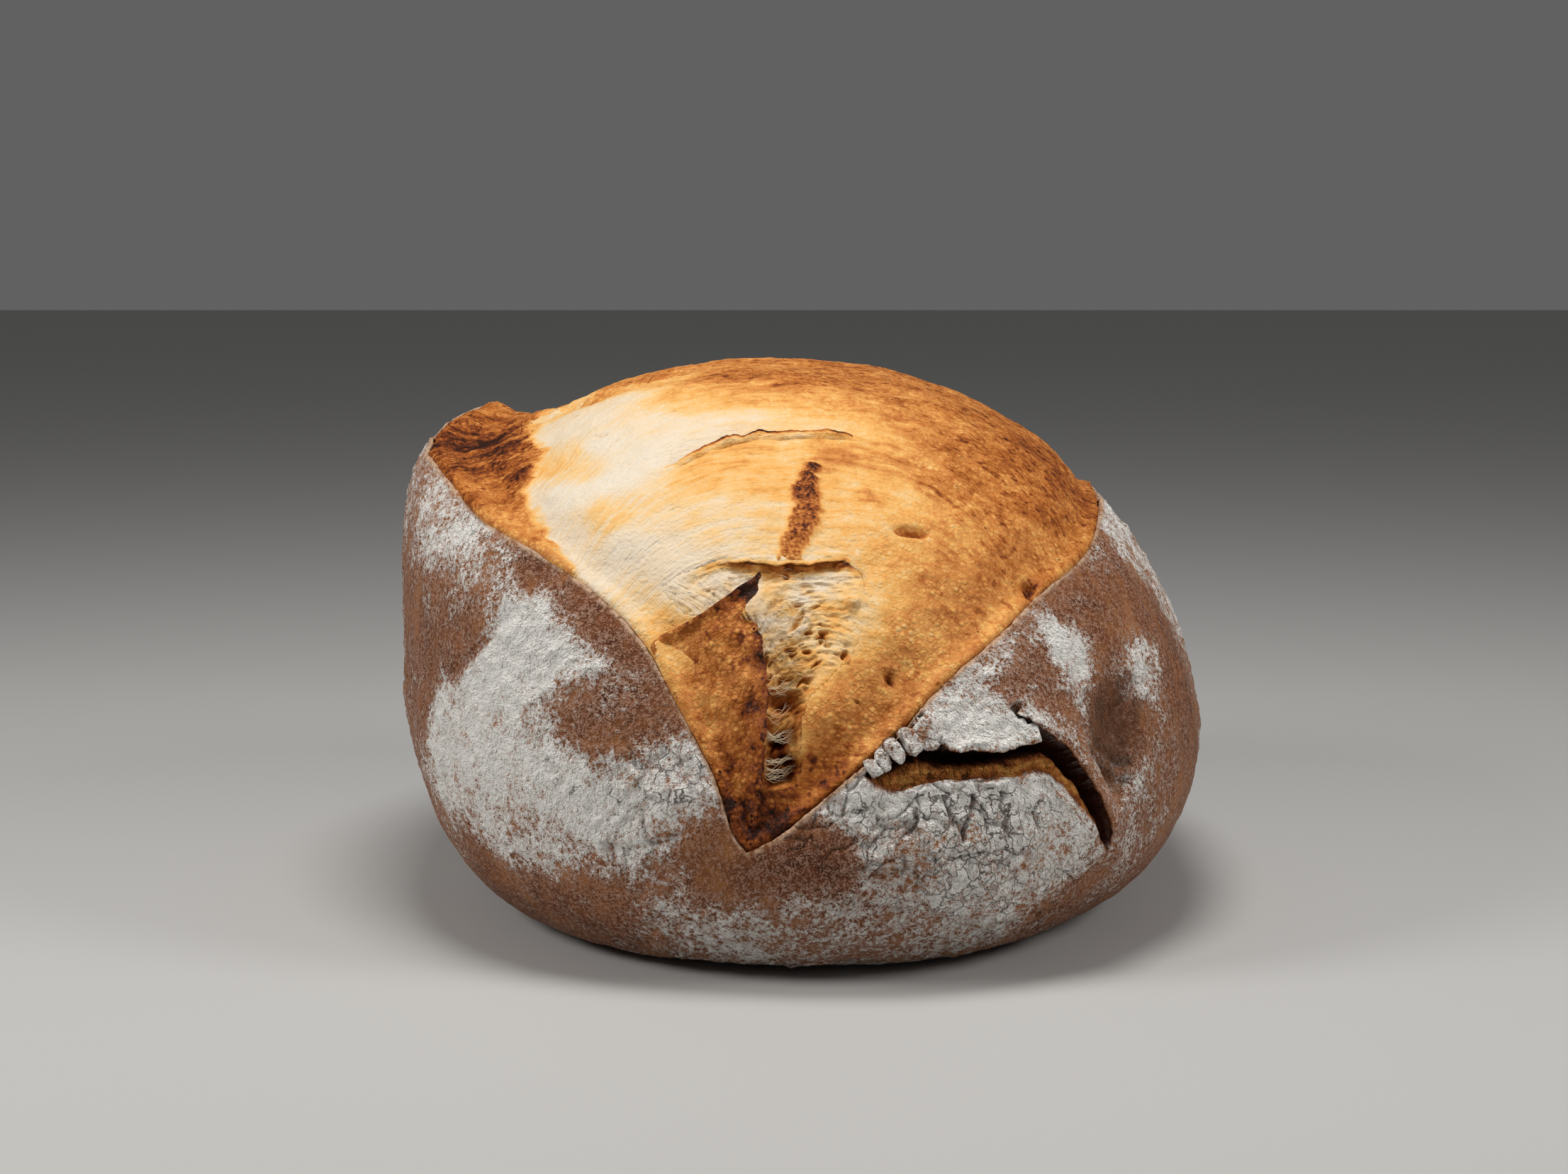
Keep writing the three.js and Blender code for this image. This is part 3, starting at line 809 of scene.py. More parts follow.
# %% Crust piece
LIP_RADIUS, LIP_UNEVENNESS = 0.5, 0.4
LIP_STEPS = 7
INNER_DEPTHS, INNER_LEAN = (1.0, 2.5, 5.0), 0.3
FLOOR_RINGS = (0.33, 0.67, 0.9)
FLOOR_FLOUR = 0.15
HEART = (0.0, 0.0, 45.0)
BARE_EDGE_REACH = 0.45
CRAZED_PLACES = [
    # across, up, reach, strength
    (32, 26, 16, 0.65),
    (-25, 40, 9, 0.45),
]
CRAZED_STRETCH = 1.2
CRUST_MARKS = ("flour", "torn", "deep", "crack", "edge", "crazed")


def lip_rows(wall, out):
    """Rows round the crust's edge and a little way down its inner side."""
    edge = wall[-1]
    up = wall[-1] - wall[-4]
    up = up / np.linalg.norm(up, axis=-1, keepdims=True)
    thick = LIP_RADIUS * (1 + LIP_UNEVENNESS * swells(edge, 2.0, 81, layers=3))[:, None]
    middle = edge - out[-1] * thick
    turns = np.linspace(0, math.pi, LIP_STEPS + 1)[1:]
    rounded = [middle + thick * (out[-1] * math.cos(a) + up * math.sin(a)) for a in turns]
    inner = [rounded[-1] - up * depth - out[-1] * INNER_LEAN * depth for depth in INNER_DEPTHS]
    return np.stack(rounded + inner)


def crazed_places():
    """How crazed the caked flour on the wall is."""
    crazed = sum(
        strength * mound(np.hypot((wall[..., 0] - x) / CRAZED_STRETCH, wall[..., 2] - z), reach)
        for x, z, reach, strength in CRAZED_PLACES
    )
    return crazed * (wall[..., 1] < 0)


def make_crust():
    lip = lip_rows(wall, wall_out)
    floor_rings = wall[0] * np.array(FLOOR_RINGS)[:, None, None]
    grid = np.concatenate([floor_rings, wall, lip])

    def with_ends(values, below=0.0, above=0.0):
        under, over = np.full((len(floor_rings), COLUMNS), below), np.full((len(lip), COLUMNS), above)
        return np.concatenate([under, values, over])

    marks = {
        "flour": with_ends(flour, below=FLOOR_FLOUR),
        "torn": with_ends(burst_marks["torn"]),
        "deep": with_ends(burst_marks["deep"]),
        "crack": with_ends(np.maximum(cracks * 0.8, burst_marks["crack"])),
        "edge": with_ends(mound(below_rim * np.ones_like(flour), BARE_EDGE_REACH), above=1.0),
        "crazed": with_ends(crazed_places()),
    }
    return closed_surfaces("crust", grid[None], marks, [(0, 0, 0), HEART])


crust = make_crust()

# %% [markdown]
# ## The lips of the side burst
#
# The floured skin over the burst broke into a slab with a crisp ragged edge, and a second edge runs down
# beside the crease. The lobe's own edge below is thinner.

# %% Burst lips
SLAB_EDGE = [
    (21.2, 48.4), (24, 47.2), (26.5, 45.4), (30.7, 45.3), (36.2, 44.5), (39.8, 45.2), (43.8, 45.8),
]
CREASE_EDGE = [
    (39.2, 51.2), (42.6, 48.8), (45.8, 46.4), (48.7, 43.9), (50.8, 41.4), (52.7, 38.4), (54.2, 35.4),
    (55.8, 31.8), (56.8, 27.5), (56.8, 22.5),
]
LOBE_EDGE = [
    (55.2, 24.6), (53.4, 28.6), (50.8, 31.6), (47.4, 35.8), (45, 38.8), (43, 40.2), (38.7, 40.3),
    (29.3, 40.2), (24.5, 40.4), (20.4, 39.6), (15, 39.2),
]
BURST_LIPS = [
    # line of the free edge, way back to the root, lift, thickness, raggedness, fade
    (SLAB_EDGE, (-0.6, 3.6), 0.35, 1.6, 0.12, 0.8),
    (CREASE_EDGE, (2.6, 2.2), 0.35, 1.3, 0.12, 4.0),
    (LOBE_EDGE, (0.0, -2.6), 0.25, 0.8, 0.2, 5.0),
]


def compass(points):
    """Compass angles of points, from 0 to 360 degrees."""
    return np.degrees(np.arctan2(points[..., 1], points[..., 0])) % 360


def on_burst_wall(x, z):
    """Points on the wall with all its relief but the burst's own hole, and outward directions."""
    points, out = wall_at(x, z)
    azimuth = compass(points)
    relief, _ = wall_relief(azimuth, points, flour_amount(azimuth, z))
    return points + out * (sum(burst_swell(x, z)) + relief)[..., None], out


def make_burst_lips():
    grids, marks = [], []
    for number, (*shape, fade) in enumerate(BURST_LIPS):
        grid, x, z, to_edge = torn_sheet(*shape, fade, on_burst_wall, 300 + 10 * number)
        under = np.zeros_like(x)
        under[:, SHEET_COLUMNS:] = 1
        floury = (flour_amount(compass(grid), z) - 0.3 * to_edge**4) * (1 - under)
        grids.append(grid)
        # the underside is bare torn dough, darkened as painted shade
        marks.append(all_marks(CRUST_MARKS, x, flour=floury, torn=under, deep=under))
    return closed_surfaces("burst_lips", np.stack(grids), stacked(marks))


burst_lips = make_burst_lips()

# %% [markdown]
# ## The broken lumps
#
# Between the slab and the rim the skin crumbled into a row of lumps. A lump starts as a ball, which is
# squared a little, roughened and sunk into the wall. The side that faces the loaf is torn and bare, and
# gets painted shade.

# %% Broken lumps
CHUNKS = [
    # place across and up, half width, half height, half depth, turn in degrees
    (12.3, 43.1, 1.7, 1.2, 1.2, -56), (14.2, 44.6, 2.1, 1.35, 1.4, -66), (16.5, 46.3, 2.3, 1.5, 1.6, -54),
    (19.2, 47.9, 2.7, 1.8, 1.7, -58), (22.4, 49.2, 3.0, 2.5, 1.8, -48),
]
CHUNK_ROWS, CHUNK_COLUMNS = 36, 48
CHUNK_POLE = 0.05
CHUNK_POWER, CHUNK_LUMPS = 0.65, 0.32
CHUNK_SINK, CHUNK_FLOUR = 0.9, 0.72


def unit_ball():
    """A grid of points on a ball of radius 1, without its poles."""
    polar = np.linspace(CHUNK_POLE, math.pi - CHUNK_POLE, CHUNK_ROWS)[:, None]
    round_it = np.linspace(0, 2 * math.pi, CHUNK_COLUMNS, endpoint=False)
    x, y = np.sin(polar) * np.cos(round_it), np.sin(polar) * np.sin(round_it)
    return np.stack([x, y, np.cos(polar) + 0 * round_it], axis=-1)


def chunk_grid(ball, x, z, half_sizes, turn):
    """A squarish, lumpy ball that sits in the wall, turned by some degrees about the way out of it."""
    middle, out = on_burst_wall(np.array([x]), np.array([z]))
    lumpy = 1 + CHUNK_LUMPS * swells(ball * 1.3 + x, 1.0, 351, layers=3)[..., None]
    local = np.sign(ball) * np.abs(ball) ** CHUNK_POWER * half_sizes * lumpy
    side = np.array([math.cos(math.radians(turn)), 0, math.sin(math.radians(turn))])
    side = side - out[0] * (side @ out[0])
    side /= np.linalg.norm(side)
    return middle[0] - CHUNK_SINK * out[0] + local @ np.stack([side, np.cross(out[0], side), out[0]])


def make_chunks():
    """Lumps of floured crust that broke off between the burst and the rim."""
    ball = unit_ball()
    grids = np.stack([chunk_grid(ball, x, z, half_sizes, turn) for x, z, *half_sizes, turn in CHUNKS])
    buried = np.broadcast_to(smooth_step(0.45, -0.1, ball[..., 2]), grids.shape[:3])
    # the buried side gets painted shade through the deep mark
    marks = all_marks(CRUST_MARKS, buried, flour=CHUNK_FLOUR, torn=buried, deep=0.6 * buried)
    return closed_surfaces("burst_chunks", grids, marks)


burst_chunks = make_chunks()

# %% [markdown]
# ## The crumb as a grid
#
# The dome is a globe with its poles left and right, so its lines run like the strands of the torn dough.
# They stand close together over the open end and wide apart where the crust hides them. Each stop below
# is an angle in degrees and the spacing of the lines there.

# %% Crumb lines
CRUMB_COLUMN_STOPS = [(180, 12), (152, 1.0), (145, 0.42), (46, 0.42), (30, 1.2), (0, 12)]
CRUMB_ROW_STOPS = [
    (-8, 0.8), (-3, 0.33), (70, 0.36), (90, 0.7), (112, 1.9), (140, 2.2), (150, 1.0), (178, 1.0), (190, 3),
    (215, 12), (352, 12),
]


def graded(stops):
    """Angles that run through the stops, with each stop's own spacing there."""
    angles = [stops[0][0]]
    direction = 1 if stops[-1][0] > stops[0][0] else -1
    places, gaps = np.array(stops, float).T
    order = np.argsort(places)
    while (stops[-1][0] - angles[-1]) * direction > 0:
        gap = np.interp(angles[-1], places[order], gaps[order])
        angles.append(angles[-1] + direction * gap)
    angles = np.array(angles[:-1])
    return stops[0][0] + (angles - stops[0][0]) * (stops[-1][0] - stops[0][0]) / (angles[-1] - stops[0][0])


def dome_direction(pole_angle, over):
    """Unit directions: pole_angle from the right, over from the open end (0) to the crown (90)."""
    pole, over = np.broadcast_arrays(np.radians(pole_angle), np.radians(over))
    return np.stack([np.cos(pole), -np.sin(pole) * np.cos(over), np.sin(pole) * np.sin(over)], axis=-1)


pole_angles = graded(CRUMB_COLUMN_STOPS)[1:-1]
overs = graded(CRUMB_ROW_STOPS)
print("crumb lines:", len(pole_angles), "across and", len(overs), "over")

# %% [markdown]
# ## Where the crumb meets the crust
#
# Near the rim the crumb swells or sinks to meet the crust, with a furrow just inside it, because the two
# skins dried apart. Past the rim it dives under the crust. For that, each place on the dome needs its
# distance from the rim, which is measured to many samples of the rim.

# %% Crumb grid
MM_PER_OVER = 1.9
RIM_SAMPLES, RIM_BATCH, RIM_SOFTNESS = 500, 6000, 4.0
LIP_THICKNESS, MEETS_LIP = 1.2, 0.75
DIVE_SLOPE, DEEPEST_DIVE = 1.3, 14
FURROW_FLOOR, FURROW_WIDTH = 2.5, 13.0
FLUSH_REACH, EAR_REACH, EAR_SWELL = 24.0, 9.0, 1.08


def rim_on_dome():
    """Rim samples seen from the dome's centre: places on the dome, how far they swell it, and angles."""
    azimuth, height = rim_at(np.arange(RIM_SAMPLES) / RIM_SAMPLES)
    arm = wall_points(azimuth, height) - DOME_CENTRE
    distance = np.linalg.norm(arm, axis=-1)
    direction = arm / distance[:, None]
    reach = dome_radius(direction)
    rise = np.degrees(np.arcsin(direction[:, 2]))
    return direction * reach[:, None], distance / reach, azimuth, compass(direction), rise


def past_rim(direction, rim):
    """Distance in from the rim (negative outside), and the rim's swell and furrow near each direction."""
    places, swell, azimuth, bearing, rise = rim
    furrow = around_loaf(FURROW_DEPTH, azimuth)
    run = np.roll(places, -1, axis=0) - np.roll(places, 1, axis=0)
    run = run / np.linalg.norm(run, axis=-1, keepdims=True)
    surface = direction * dome_radius(direction)[..., None]
    flat = surface.reshape(-1, 3)
    out = np.empty((len(flat), 3))
    for start in range(0, len(flat), RIM_BATCH):
        batch = slice(start, start + RIM_BATCH)
        part = flat[batch]
        squared = ((part[:, None, :] - places) ** 2).sum(axis=-1)
        weight = (squared + RIM_SOFTNESS) ** -2.0
        total = weight.sum(axis=1)
        near = squared.argmin(axis=1)
        past_sample = ((part - places[near]) * run[near]).sum(axis=-1)
        out[batch, 0] = np.sqrt(np.maximum(squared.min(axis=1) - past_sample**2, 0))
        out[batch, 1] = (weight @ swell) / total
        out[batch, 2] = (weight @ furrow) / total
    distance, swell_near, furrow_near = [column.reshape(direction.shape[:-1]) for column in out.T]
    order = np.argsort(bearing)
    rim_rise = np.interp(compass(direction), bearing[order], rise[order], period=360)
    inside = np.degrees(np.arcsin(np.clip(direction[..., 2], -1, 1))) > rim_rise
    return np.where(inside, distance, -distance), swell_near, furrow_near


def crumb_surface(direction, rim):
    """Smooth crumb points along directions, and how far in from the rim each one is."""
    reach = dome_radius(direction)
    inward, swell, furrow = past_rim(direction, rim)
    flush_reach = FLUSH_REACH + (EAR_REACH - FLUSH_REACH) * smooth_step(1, EAR_SWELL, swell)
    flush = 1 + (swell - 1) * mound(inward, flush_reach)
    past_lip = inward - LIP_THICKNESS
    rising = 1 - smooth_step(FURROW_FLOOR, FURROW_WIDTH, past_lip)
    sunk = furrow * smooth_step(0, FURROW_FLOOR, past_lip) * rising
    dive = np.clip(DIVE_SLOPE * (MEETS_LIP - inward), 0, DEEPEST_DIVE)
    radius = reach * flush - sunk - dive
    return DOME_CENTRE + direction * radius[..., None], inward


rim = rim_on_dome()
crumb_smooth, inward = crumb_surface(dome_direction(pole_angles[:, None], overs[None, ::-1]), rim)
print("crumb grid:", crumb_smooth.shape[:2])

# %% [markdown]
# ## Reading the crumb
#
# The crumb burst in stages. What opened last is pale, stringy and hardly baked. What opened first dried
# to a golden skin full of tiny blisters and browned from there. Two charts hold this, as millimetres
# across and degrees over from the open end: how browned each place is, and how blistered. Near the
# bottom of the V the first chart is darker partly as painted shade.

# %% Crumb charts
BROWNING_READINGS = [
    # cream beside the ear and down the left side
    (-48, 31, 0.10), (-41, 26, 0.10), (-33, 22, 0.20), (-27, 19, 0.36), (-37, 40, 0.02), (-30, 44, 0.04),
    (-46, 38, 0.04), (-42, 50, 0.04), (-50, 62, 0.10), (-34, 29, 0.08), (-24, 28, 0.12), (-37, 33, 0.30),
    (-30, 34.5, 0.24), (-44, 42.5, 0.24), (-28, 53, 0.12), (-38, 64, 0.12), (-45, 60, 0.08),
    (-51.5, 48, 0.34), (-47, 49.5, 0.28), (-50, 70, 0.12), (-52, 79, 0.18), (-52, 90, 0.30),
    # golden skin between the two torn edges
    (-21, 38, 0.36), (-17, 42, 0.42), (-8, 42, 0.44), (-5, 38, 0.38), (4, 43, 0.46), (13, 43, 0.48),
    (-19, 33, 0.22), (-9, 34, 0.30), (-15, 29, 0.20), (-6, 30, 0.28), (7, 31, 0.34), (9, 37, 0.32),
    # white crumb above the upper edge
    (-19, 49, 0.12), (-26, 46, 0.08), (-12, 51, 0.18), (-1, 49.5, 0.24), (9, 49.5, 0.34), (-23, 56, 0.30),
    (-12, 58, 0.44), (2, 54, 0.42), (11, 57, 0.50), (-24, 62, 0.44), (4, 66, 0.58), (-17, 64, 0.46),
    # soft skin round the fresh crumb
    (-23, 24, 0.10), (-15, 24, 0.06), (-5, 24, 0.08), (6, 24, 0.14), (11, 22, 0.28), (2, 20.5, 0.24),
    (-3, 17, 0.14), (4, 17, 0.26), (-2.5, 14, 0.24), (-4, 10, 0.30), (-4, 7, 0.42), (1, 11, 0.50),
    # toasted right side
    (14, 32, 0.34), (17, 36, 0.42), (16, 26, 0.42), (19, 20, 0.47), (25, 24, 0.54), (11, 36, 0.50),
    (26, 40, 0.54), (31, 38, 0.60), (42, 47, 0.62), (37, 39, 0.56), (47, 40, 0.66), (30, 29, 0.52),
    (44, 34, 0.56), (39, 28, 0.60), (27, 53, 0.54), (35, 51, 0.64), (22, 60, 0.54), (33, 62, 0.62),
    (42, 66, 0.66), (50, 58, 0.70), (56, 50, 0.70), (52, 44, 0.58),
    # bottom of the V, darker partly as painted shade
    (10, 14, 0.50), (20, 14, 0.54), (5, 11, 0.54), (-9, 3, 0.78), (-3, 5, 0.72), (2, 6, 0.67),
    (-9, 7, 0.68), (6, 8, 0.58), (-6, 1, 0.90), (-12, 1, 0.84), (-18, 12, 0.54),
    # crown
    (-44.5, 75, 0.54), (-41, 82, 0.58), (-37, 90, 0.56), (-33, 77, 0.36), (-17, 70, 0.62), (-11, 73, 0.64),
    (-3, 68, 0.62), (-3, 82, 0.58), (8, 86, 0.58), (20, 75, 0.58), (37, 74, 0.62), (0, 95, 0.60),
    (-30, 100, 0.54), (30, 100, 0.62), (62, 85, 0.64),
    # behind the crown
    (0, 120, 0.52), (-40, 125, 0.58), (40, 125, 0.60), (0, 150, 0.58), (-25, 160, 0.62), (30, 160, 0.60),
    (-55, 110, 0.62), (0, 178, 0.62),
]
EAR_LINE = [
    (-37, 21), (-41, 24), (-46.6, 27.7), (-50.2, 31), (-52.5, 34.6), (-53.8, 41.7), (-55.5, 47.6),
    (-53.5, 54.5), (-56, 62), (-57, 72), (-58, 82), (-58, 95),
]
EAR_READINGS = [
    # its lower part, beside the cream
    (-42, 24, 0.44), (-52, 36, 0.50), (-56, 41, 0.62), (-58, 48, 0.78), (-60.5, 56.5, 0.84), (-56, 56, 0.62),
    (-63, 47, 0.58), (-66, 58, 0.70),
    # the scorched top
    (-63.5, 65, 0.86), (-67, 73, 1.04), (-66.5, 80, 0.98), (-72, 68, 0.72), (-58, 68, 0.60),
    (-59.5, 73, 0.66), (-58, 78, 0.56),
    # behind the top
    (-63, 88, 0.64), (-70, 84, 0.74), (-70, 96, 0.68), (-59, 96, 0.60), (-66, 110, 0.62),
]
BLISTER_READINGS = [
    # smooth late crumb on the left and in the middle
    (-37, 37, 0.0), (-25, 28, 0.0), (-46, 45, 0.05), (-40, 25, 0.1), (-15, 35, 0.05), (-5, 42, 0.1),
    (-15, 24, 0.0), (-3, 22, 0.0), (5, 22, 0.05), (8, 19, 0.2), (-3, 14, 0.0), (-4, 8, 0.0), (4, 15, 0.5),
    # the bottom of the V and the toasted right side
    (2, 10, 1.0), (10, 12, 1.0), (20, 18, 1.0), (16, 26, 0.7), (25, 30, 0.7), (14, 36, 0.4), (30, 45, 0.9),
    (45, 40, 0.92), (20, 60, 0.85), (45, 62, 0.95), (-10, 4, 1.0), (-15, 12, 1.0), (-25, 17, 0.7),
    # between the torn edges
    (2, 34, 0.3), (8, 42, 0.2),
    # the crown and behind it
    (-20, 64, 0.5), (-5, 75, 0.9), (-40, 75, 0.8), (0, 62, 0.7), (0, 110, 0.8), (20, 75, 0.95),
    (-20, 82, 0.8), (0, 150, 0.8),
]
CHART_SOFTNESS = 2.5
STRAND_BEND, STRAND_SPREAD = 2560.0, 0.8
EAR_JAGS, EAR_JAG_SIZE = 2.2, 5.0
EAR_FADE_OVER = (95, 125)


def over_angle(points):
    """Degrees over from the open end, seen from the dome's centre."""
    return np.degrees(np.arctan2(points[..., 2] - DOME_CENTRE[2], DOME_CENTRE[1] - points[..., 1]))


def strand_place(x, over):
    """Place across and along the torn strands, which lie level in the middle and droop at both sides."""
    bend = np.abs(x) ** 3 / STRAND_BEND
    return over * MM_PER_OVER + bend, x + STRAND_SPREAD * np.sign(x) * bend


def strand_noise(x, over, size, stretch, seed, layers=2):
    """Noise drawn out along the torn strands."""
    ring, along = strand_place(x, over)
    return swells(np.stack([ring, along / stretch, 0 * ring + 3.1 * seed], axis=-1), size, seed, layers)


def ear_share(points, x, over):
    """1 on the ear's own skin, 0 on the torn crumb; the skin ends along a jagged line."""
    xs, overs = np.array(EAR_LINE).T
    jagged = EAR_JAGS * swells(points, EAR_JAG_SIZE, 117, layers=4)
    in_reach = np.interp(over, EAR_FADE_OVER, [1, 0])
    return smooth_step(1.8, -1.2, x - np.interp(over, overs, xs) + jagged) * in_reach


def browning_at(points, x, over):
    """How browned the crumb is at points on it."""
    ear = ear_share(points, x, over)
    on_crumb = from_readings(BROWNING_READINGS, x, over, MM_PER_OVER, CHART_SOFTNESS)
    on_ear = from_readings(EAR_READINGS, x, over, MM_PER_OVER, CHART_SOFTNESS)
    return on_crumb * (1 - ear) + on_ear * ear


crumb_x, crumb_over = crumb_smooth[..., 0], over_angle(crumb_smooth)
browning = browning_at(crumb_smooth, crumb_x, crumb_over)
print("browning runs from", browning.min().round(2), "to", browning.max().round(2))

# %% [markdown]
# ## Skin of the crumb
#
# Where the crumb dried slowly its skin rose in blisters; where it tore late it is combed into soft
# strands. Both lie on slow swells. On the left shoulder, behind the ear, the skin baked rough and knobbly.
# The ear's own skin stands a step above the crumb that tore away from it.

# %% Crumb skin
SHOULDER = {"x": -44, "over": 84, "reach": 15}
BIG_BLISTER, SMALL_BLISTER = 2.4, 1.3
STRAND_HEIGHT = 0.08
KNOB_SIZE, SHOULDER_KNOBS, EAR_KNOBS = 4.5, 2.4, 0.6
EAR_STEP = 0.9


def blister_height(points, over):
    """Height of the blisters in mm; they are lower above the open end."""
    big, _, number = cells(points, BIG_BLISTER, 121)
    small = cells(points, SMALL_BLISTER, 125)[0]
    bubbles = (0.12 + 0.35 * number) * smooth_step(0.6, 0.1, big) + 0.14 * smooth_step(0.7, 0.1, small)
    return bubbles * (0.4 + 0.6 * smooth_step(42, 22, over))


def crumb_skin(points, x, over):
    """Relief of unbroken crumb skin in mm, and how blistered it is."""
    strands = strand_noise(x, over, 3.4, 4.0, 111) + 0.8 * strand_noise(x, over, 1.3, 6.0, 115)
    from_shoulder = np.hypot(x - SHOULDER["x"], (over - SHOULDER["over"]) * MM_PER_OVER)
    uneven = 0.45 * swells(points, 14.0, 131) + 0.38 * swells(points, 6.0, 135, layers=3)
    ear = ear_share(points, x, over)
    knobbly = SHOULDER_KNOBS * mound(from_shoulder, SHOULDER["reach"]) + EAR_KNOBS * ear
    knobs = knobbly * swells(points, KNOB_SIZE, 137, layers=3)
    blister = np.clip(from_readings(BLISTER_READINGS, x, over, MM_PER_OVER), 0, 1)
    blister = np.maximum(blister, ear)
    smooth_part = uneven + STRAND_HEIGHT * strands * (1 - blister)
    return smooth_part + blister * blister_height(points, over) + knobs + EAR_STEP * ear, blister


crown = DOME_CENTRE + np.array([[0.0, 0.0, DOME_HEIGHT]])
crown_skin, crown_blister = crumb_skin(crown, crown[:, 0], over_angle(crown))
print("at the crown the skin stands", crown_skin.round(2), "mm high")
print("and it is", crown_blister.round(2), "blistered")

# %% [markdown]
# ## Tears and hollows
#
# The dough tore along an arch. Above the arch the drying skin shrank back and left an edge; below it
# lies fresh white crumb, and beside the loose flap the tear goes deeper, into a valley of hollows.
# Higher up the skin ends in a fold, and a reddish scab of older skin lies across it.

# %% Tear charts
TORN_EDGE = [
    (-27, 23.4), (-22.7, 25.1), (-18, 26), (-14.7, 26.6), (-9.8, 26.2), (-4.5, 26.3), (0.8, 26.2),
    (4.3, 26.8), (7.8, 26.8), (10.8, 25.4), (12, 23.5),
]
UPPER_FOLD = [
    (-29, 40.6), (-24, 42.6), (-19, 44.4), (-15, 46), (-9, 47.2), (-4, 47), (3, 47.2), (8, 47.4), (14, 46.8),
]
SCAB = [(1.5, 40), (0.3, 37), (0.6, 34), (-0.4, 31), (-2.4, 28.4), (-3.0, 27)]
FRESH = TORN_EDGE + [
    (10.5, 19.5), (8.5, 16.5), (4.8, 14.4), (0.8, 12.4), (-0.6, 10.3), (-1.2, 8.6), (-0.6, 6.9), (-2, 4),
    (-8.5, 3.5), (-10, 10), (-11, 17), (-17, 19.5), (-24, 21.4),
]
FRESH_DEPTHS = [
    # each is across, over and depth; first those under the arch, from left to right
    (-24, 22.5, 0.1), (-18, 24.5, 0.5), (-9, 25, 1.5), (0, 25.2, 1.6), (8, 25.5, 0.9), (11, 22, 0.0),
    # down its right side, where it runs out into the skin
    (9, 18, 0.0), (5, 15, 0.1), (7, 20, 0.2),
    # its middle
    (0, 14.5, 1.2), (-4, 14, 2.2), (-7, 18, 1.2), (-12, 21, 1.1), (-4, 20, 0.9), (2, 21, 0.7),
    # the valley beside the flap
    (-4, 11, 3.0), (-5, 8, 3.2), (-5, 5, 2.8), (-1, 6, 1.4), (-1.4, 9, 1.5), (-8, 6, 3.0), (-8, 12, 3.0),
]
HOLLOWS = [
    # each is across, over, half width, half height and depth; first the hollows of the valley
    (-4.4, 12.0, 3.2, 2.4, 2.6), (-5.2, 8.2, 2.0, 1.6, 2.4), (-3.4, 6.4, 1.8, 1.3, 2.2),
    (-5.6, 5.0, 2.2, 1.7, 2.4),
    # holes in the fresh crumb
    (-3.0, 17.0, 1.2, 0.7, 1.6), (0.4, 16.8, 1.1, 0.5, 1.4), (0.8, 18.8, 1.1, 0.5, 1.4),
    (3.6, 18.7, 1.2, 0.5, 1.4), (7.4, 16.3, 0.9, 1.2, 1.8), (-3.5, 25.0, 0.8, 0.7, 1.3),
    (-1.4, 21.8, 1.3, 0.6, 1.2), (4.2, 17.4, 0.8, 0.5, 1.0),
    # pits in the baked skin
    (20.3, 30.8, 3.6, 1.5, 2.2), (15.8, 14.2, 0.8, 1.5, 1.7), (43.5, 25.6, 1.5, 3.2, 2.6),
    (13.4, 36.0, 0.7, 0.5, 0.8), (-25.0, 19.6, 0.6, 0.5, 0.8), (9.4, 12.0, 0.5, 0.5, 0.9),
    (-41.0, 52.0, 1.6, 0.8, 0.9),
]
# a peak that was left standing in the fresh crumb, written as a hollow is
PEAK = (8.9, 22.0, 1.5, 1.3, 1.6)
print("hollows and pits:", len(HOLLOWS))

# %% [markdown]
# ## Relief of the torn crumb
#
# Every feature of the charts becomes a height that adds to the skin's own. The skin sinks away under the
# fresh crumb, which is a finer mesh of its own.

# %% Crumb relief
SCAB_RISE, SCAB_HALF_WIDTH, SCAB_RAGGEDNESS = 0.7, 2.5, 0.7
FOLD_RISE, FOLD_REACH = 0.6, 6.0
DROP_DEPTH, DROP_REACH = 1.3, 5.0
SINK_UNDER_FRESH = 2.2
NOT_FRESH = -9
DEEP_HOLLOW = 2.4


def pit(shape, x, over):
    """A rounded hollow with a fairly sharp edge: centre, half width, half height and depth."""
    at_x, at_over, half_width, half_height, depth = shape
    reach = np.hypot((x - at_x) / half_width, (over - at_over) * MM_PER_OVER / half_height)
    return depth * (1 - smooth_step(0.45, 1.15, reach))


def on_chart(line):
    """A line of places across and over, in millimetres of the chart."""
    return [(x, over * MM_PER_OVER) for x, over in line]


def side_of(line, x, over):
    """Height in mm above a line that runs left to right, and a mask that fades where the line ends."""
    xs, overs = np.array(line).T
    above = (over - np.interp(x, xs, overs)) * MM_PER_OVER
    return above, smooth_step(xs[0], xs[0] + 5, x) * (1 - smooth_step(xs[-1] - 4, xs[-1], x))


def fresh_crumb(points):
    """How far points are inside the fresh crumb in mm, with a ragged outline, and how deep it lies."""
    x, over = points[..., 0], over_angle(points)
    ragged = (0.8 + 0.6 * smooth_step(2, 8, x)) * swells(points, 2.4, 101, layers=3)
    x, over = x + ragged, over + 0.7 * ragged / MM_PER_OVER
    inside = inset(on_chart(FRESH), x, over * MM_PER_OVER)
    return np.where(points[..., 1] < 0, inside, NOT_FRESH), from_readings(FRESH_DEPTHS, x, over, MM_PER_OVER)


def hollows_at(x, over):
    """Depth of all the hollows together."""
    return sum(pit(shape, x, over) for shape in HOLLOWS)


def fold_relief(x, over):
    """Skin that rises towards the upper fold, and how far the crumb above it lies lower."""
    above, span = side_of(UPPER_FOLD, x, over)
    folded = span * (FOLD_RISE * mound(np.minimum(above, 0), FOLD_REACH) * (above < 0))
    dropped = span * DROP_DEPTH * mound(above, DROP_REACH) * smooth_step(-0.8, 0.2, above)
    return folded, dropped


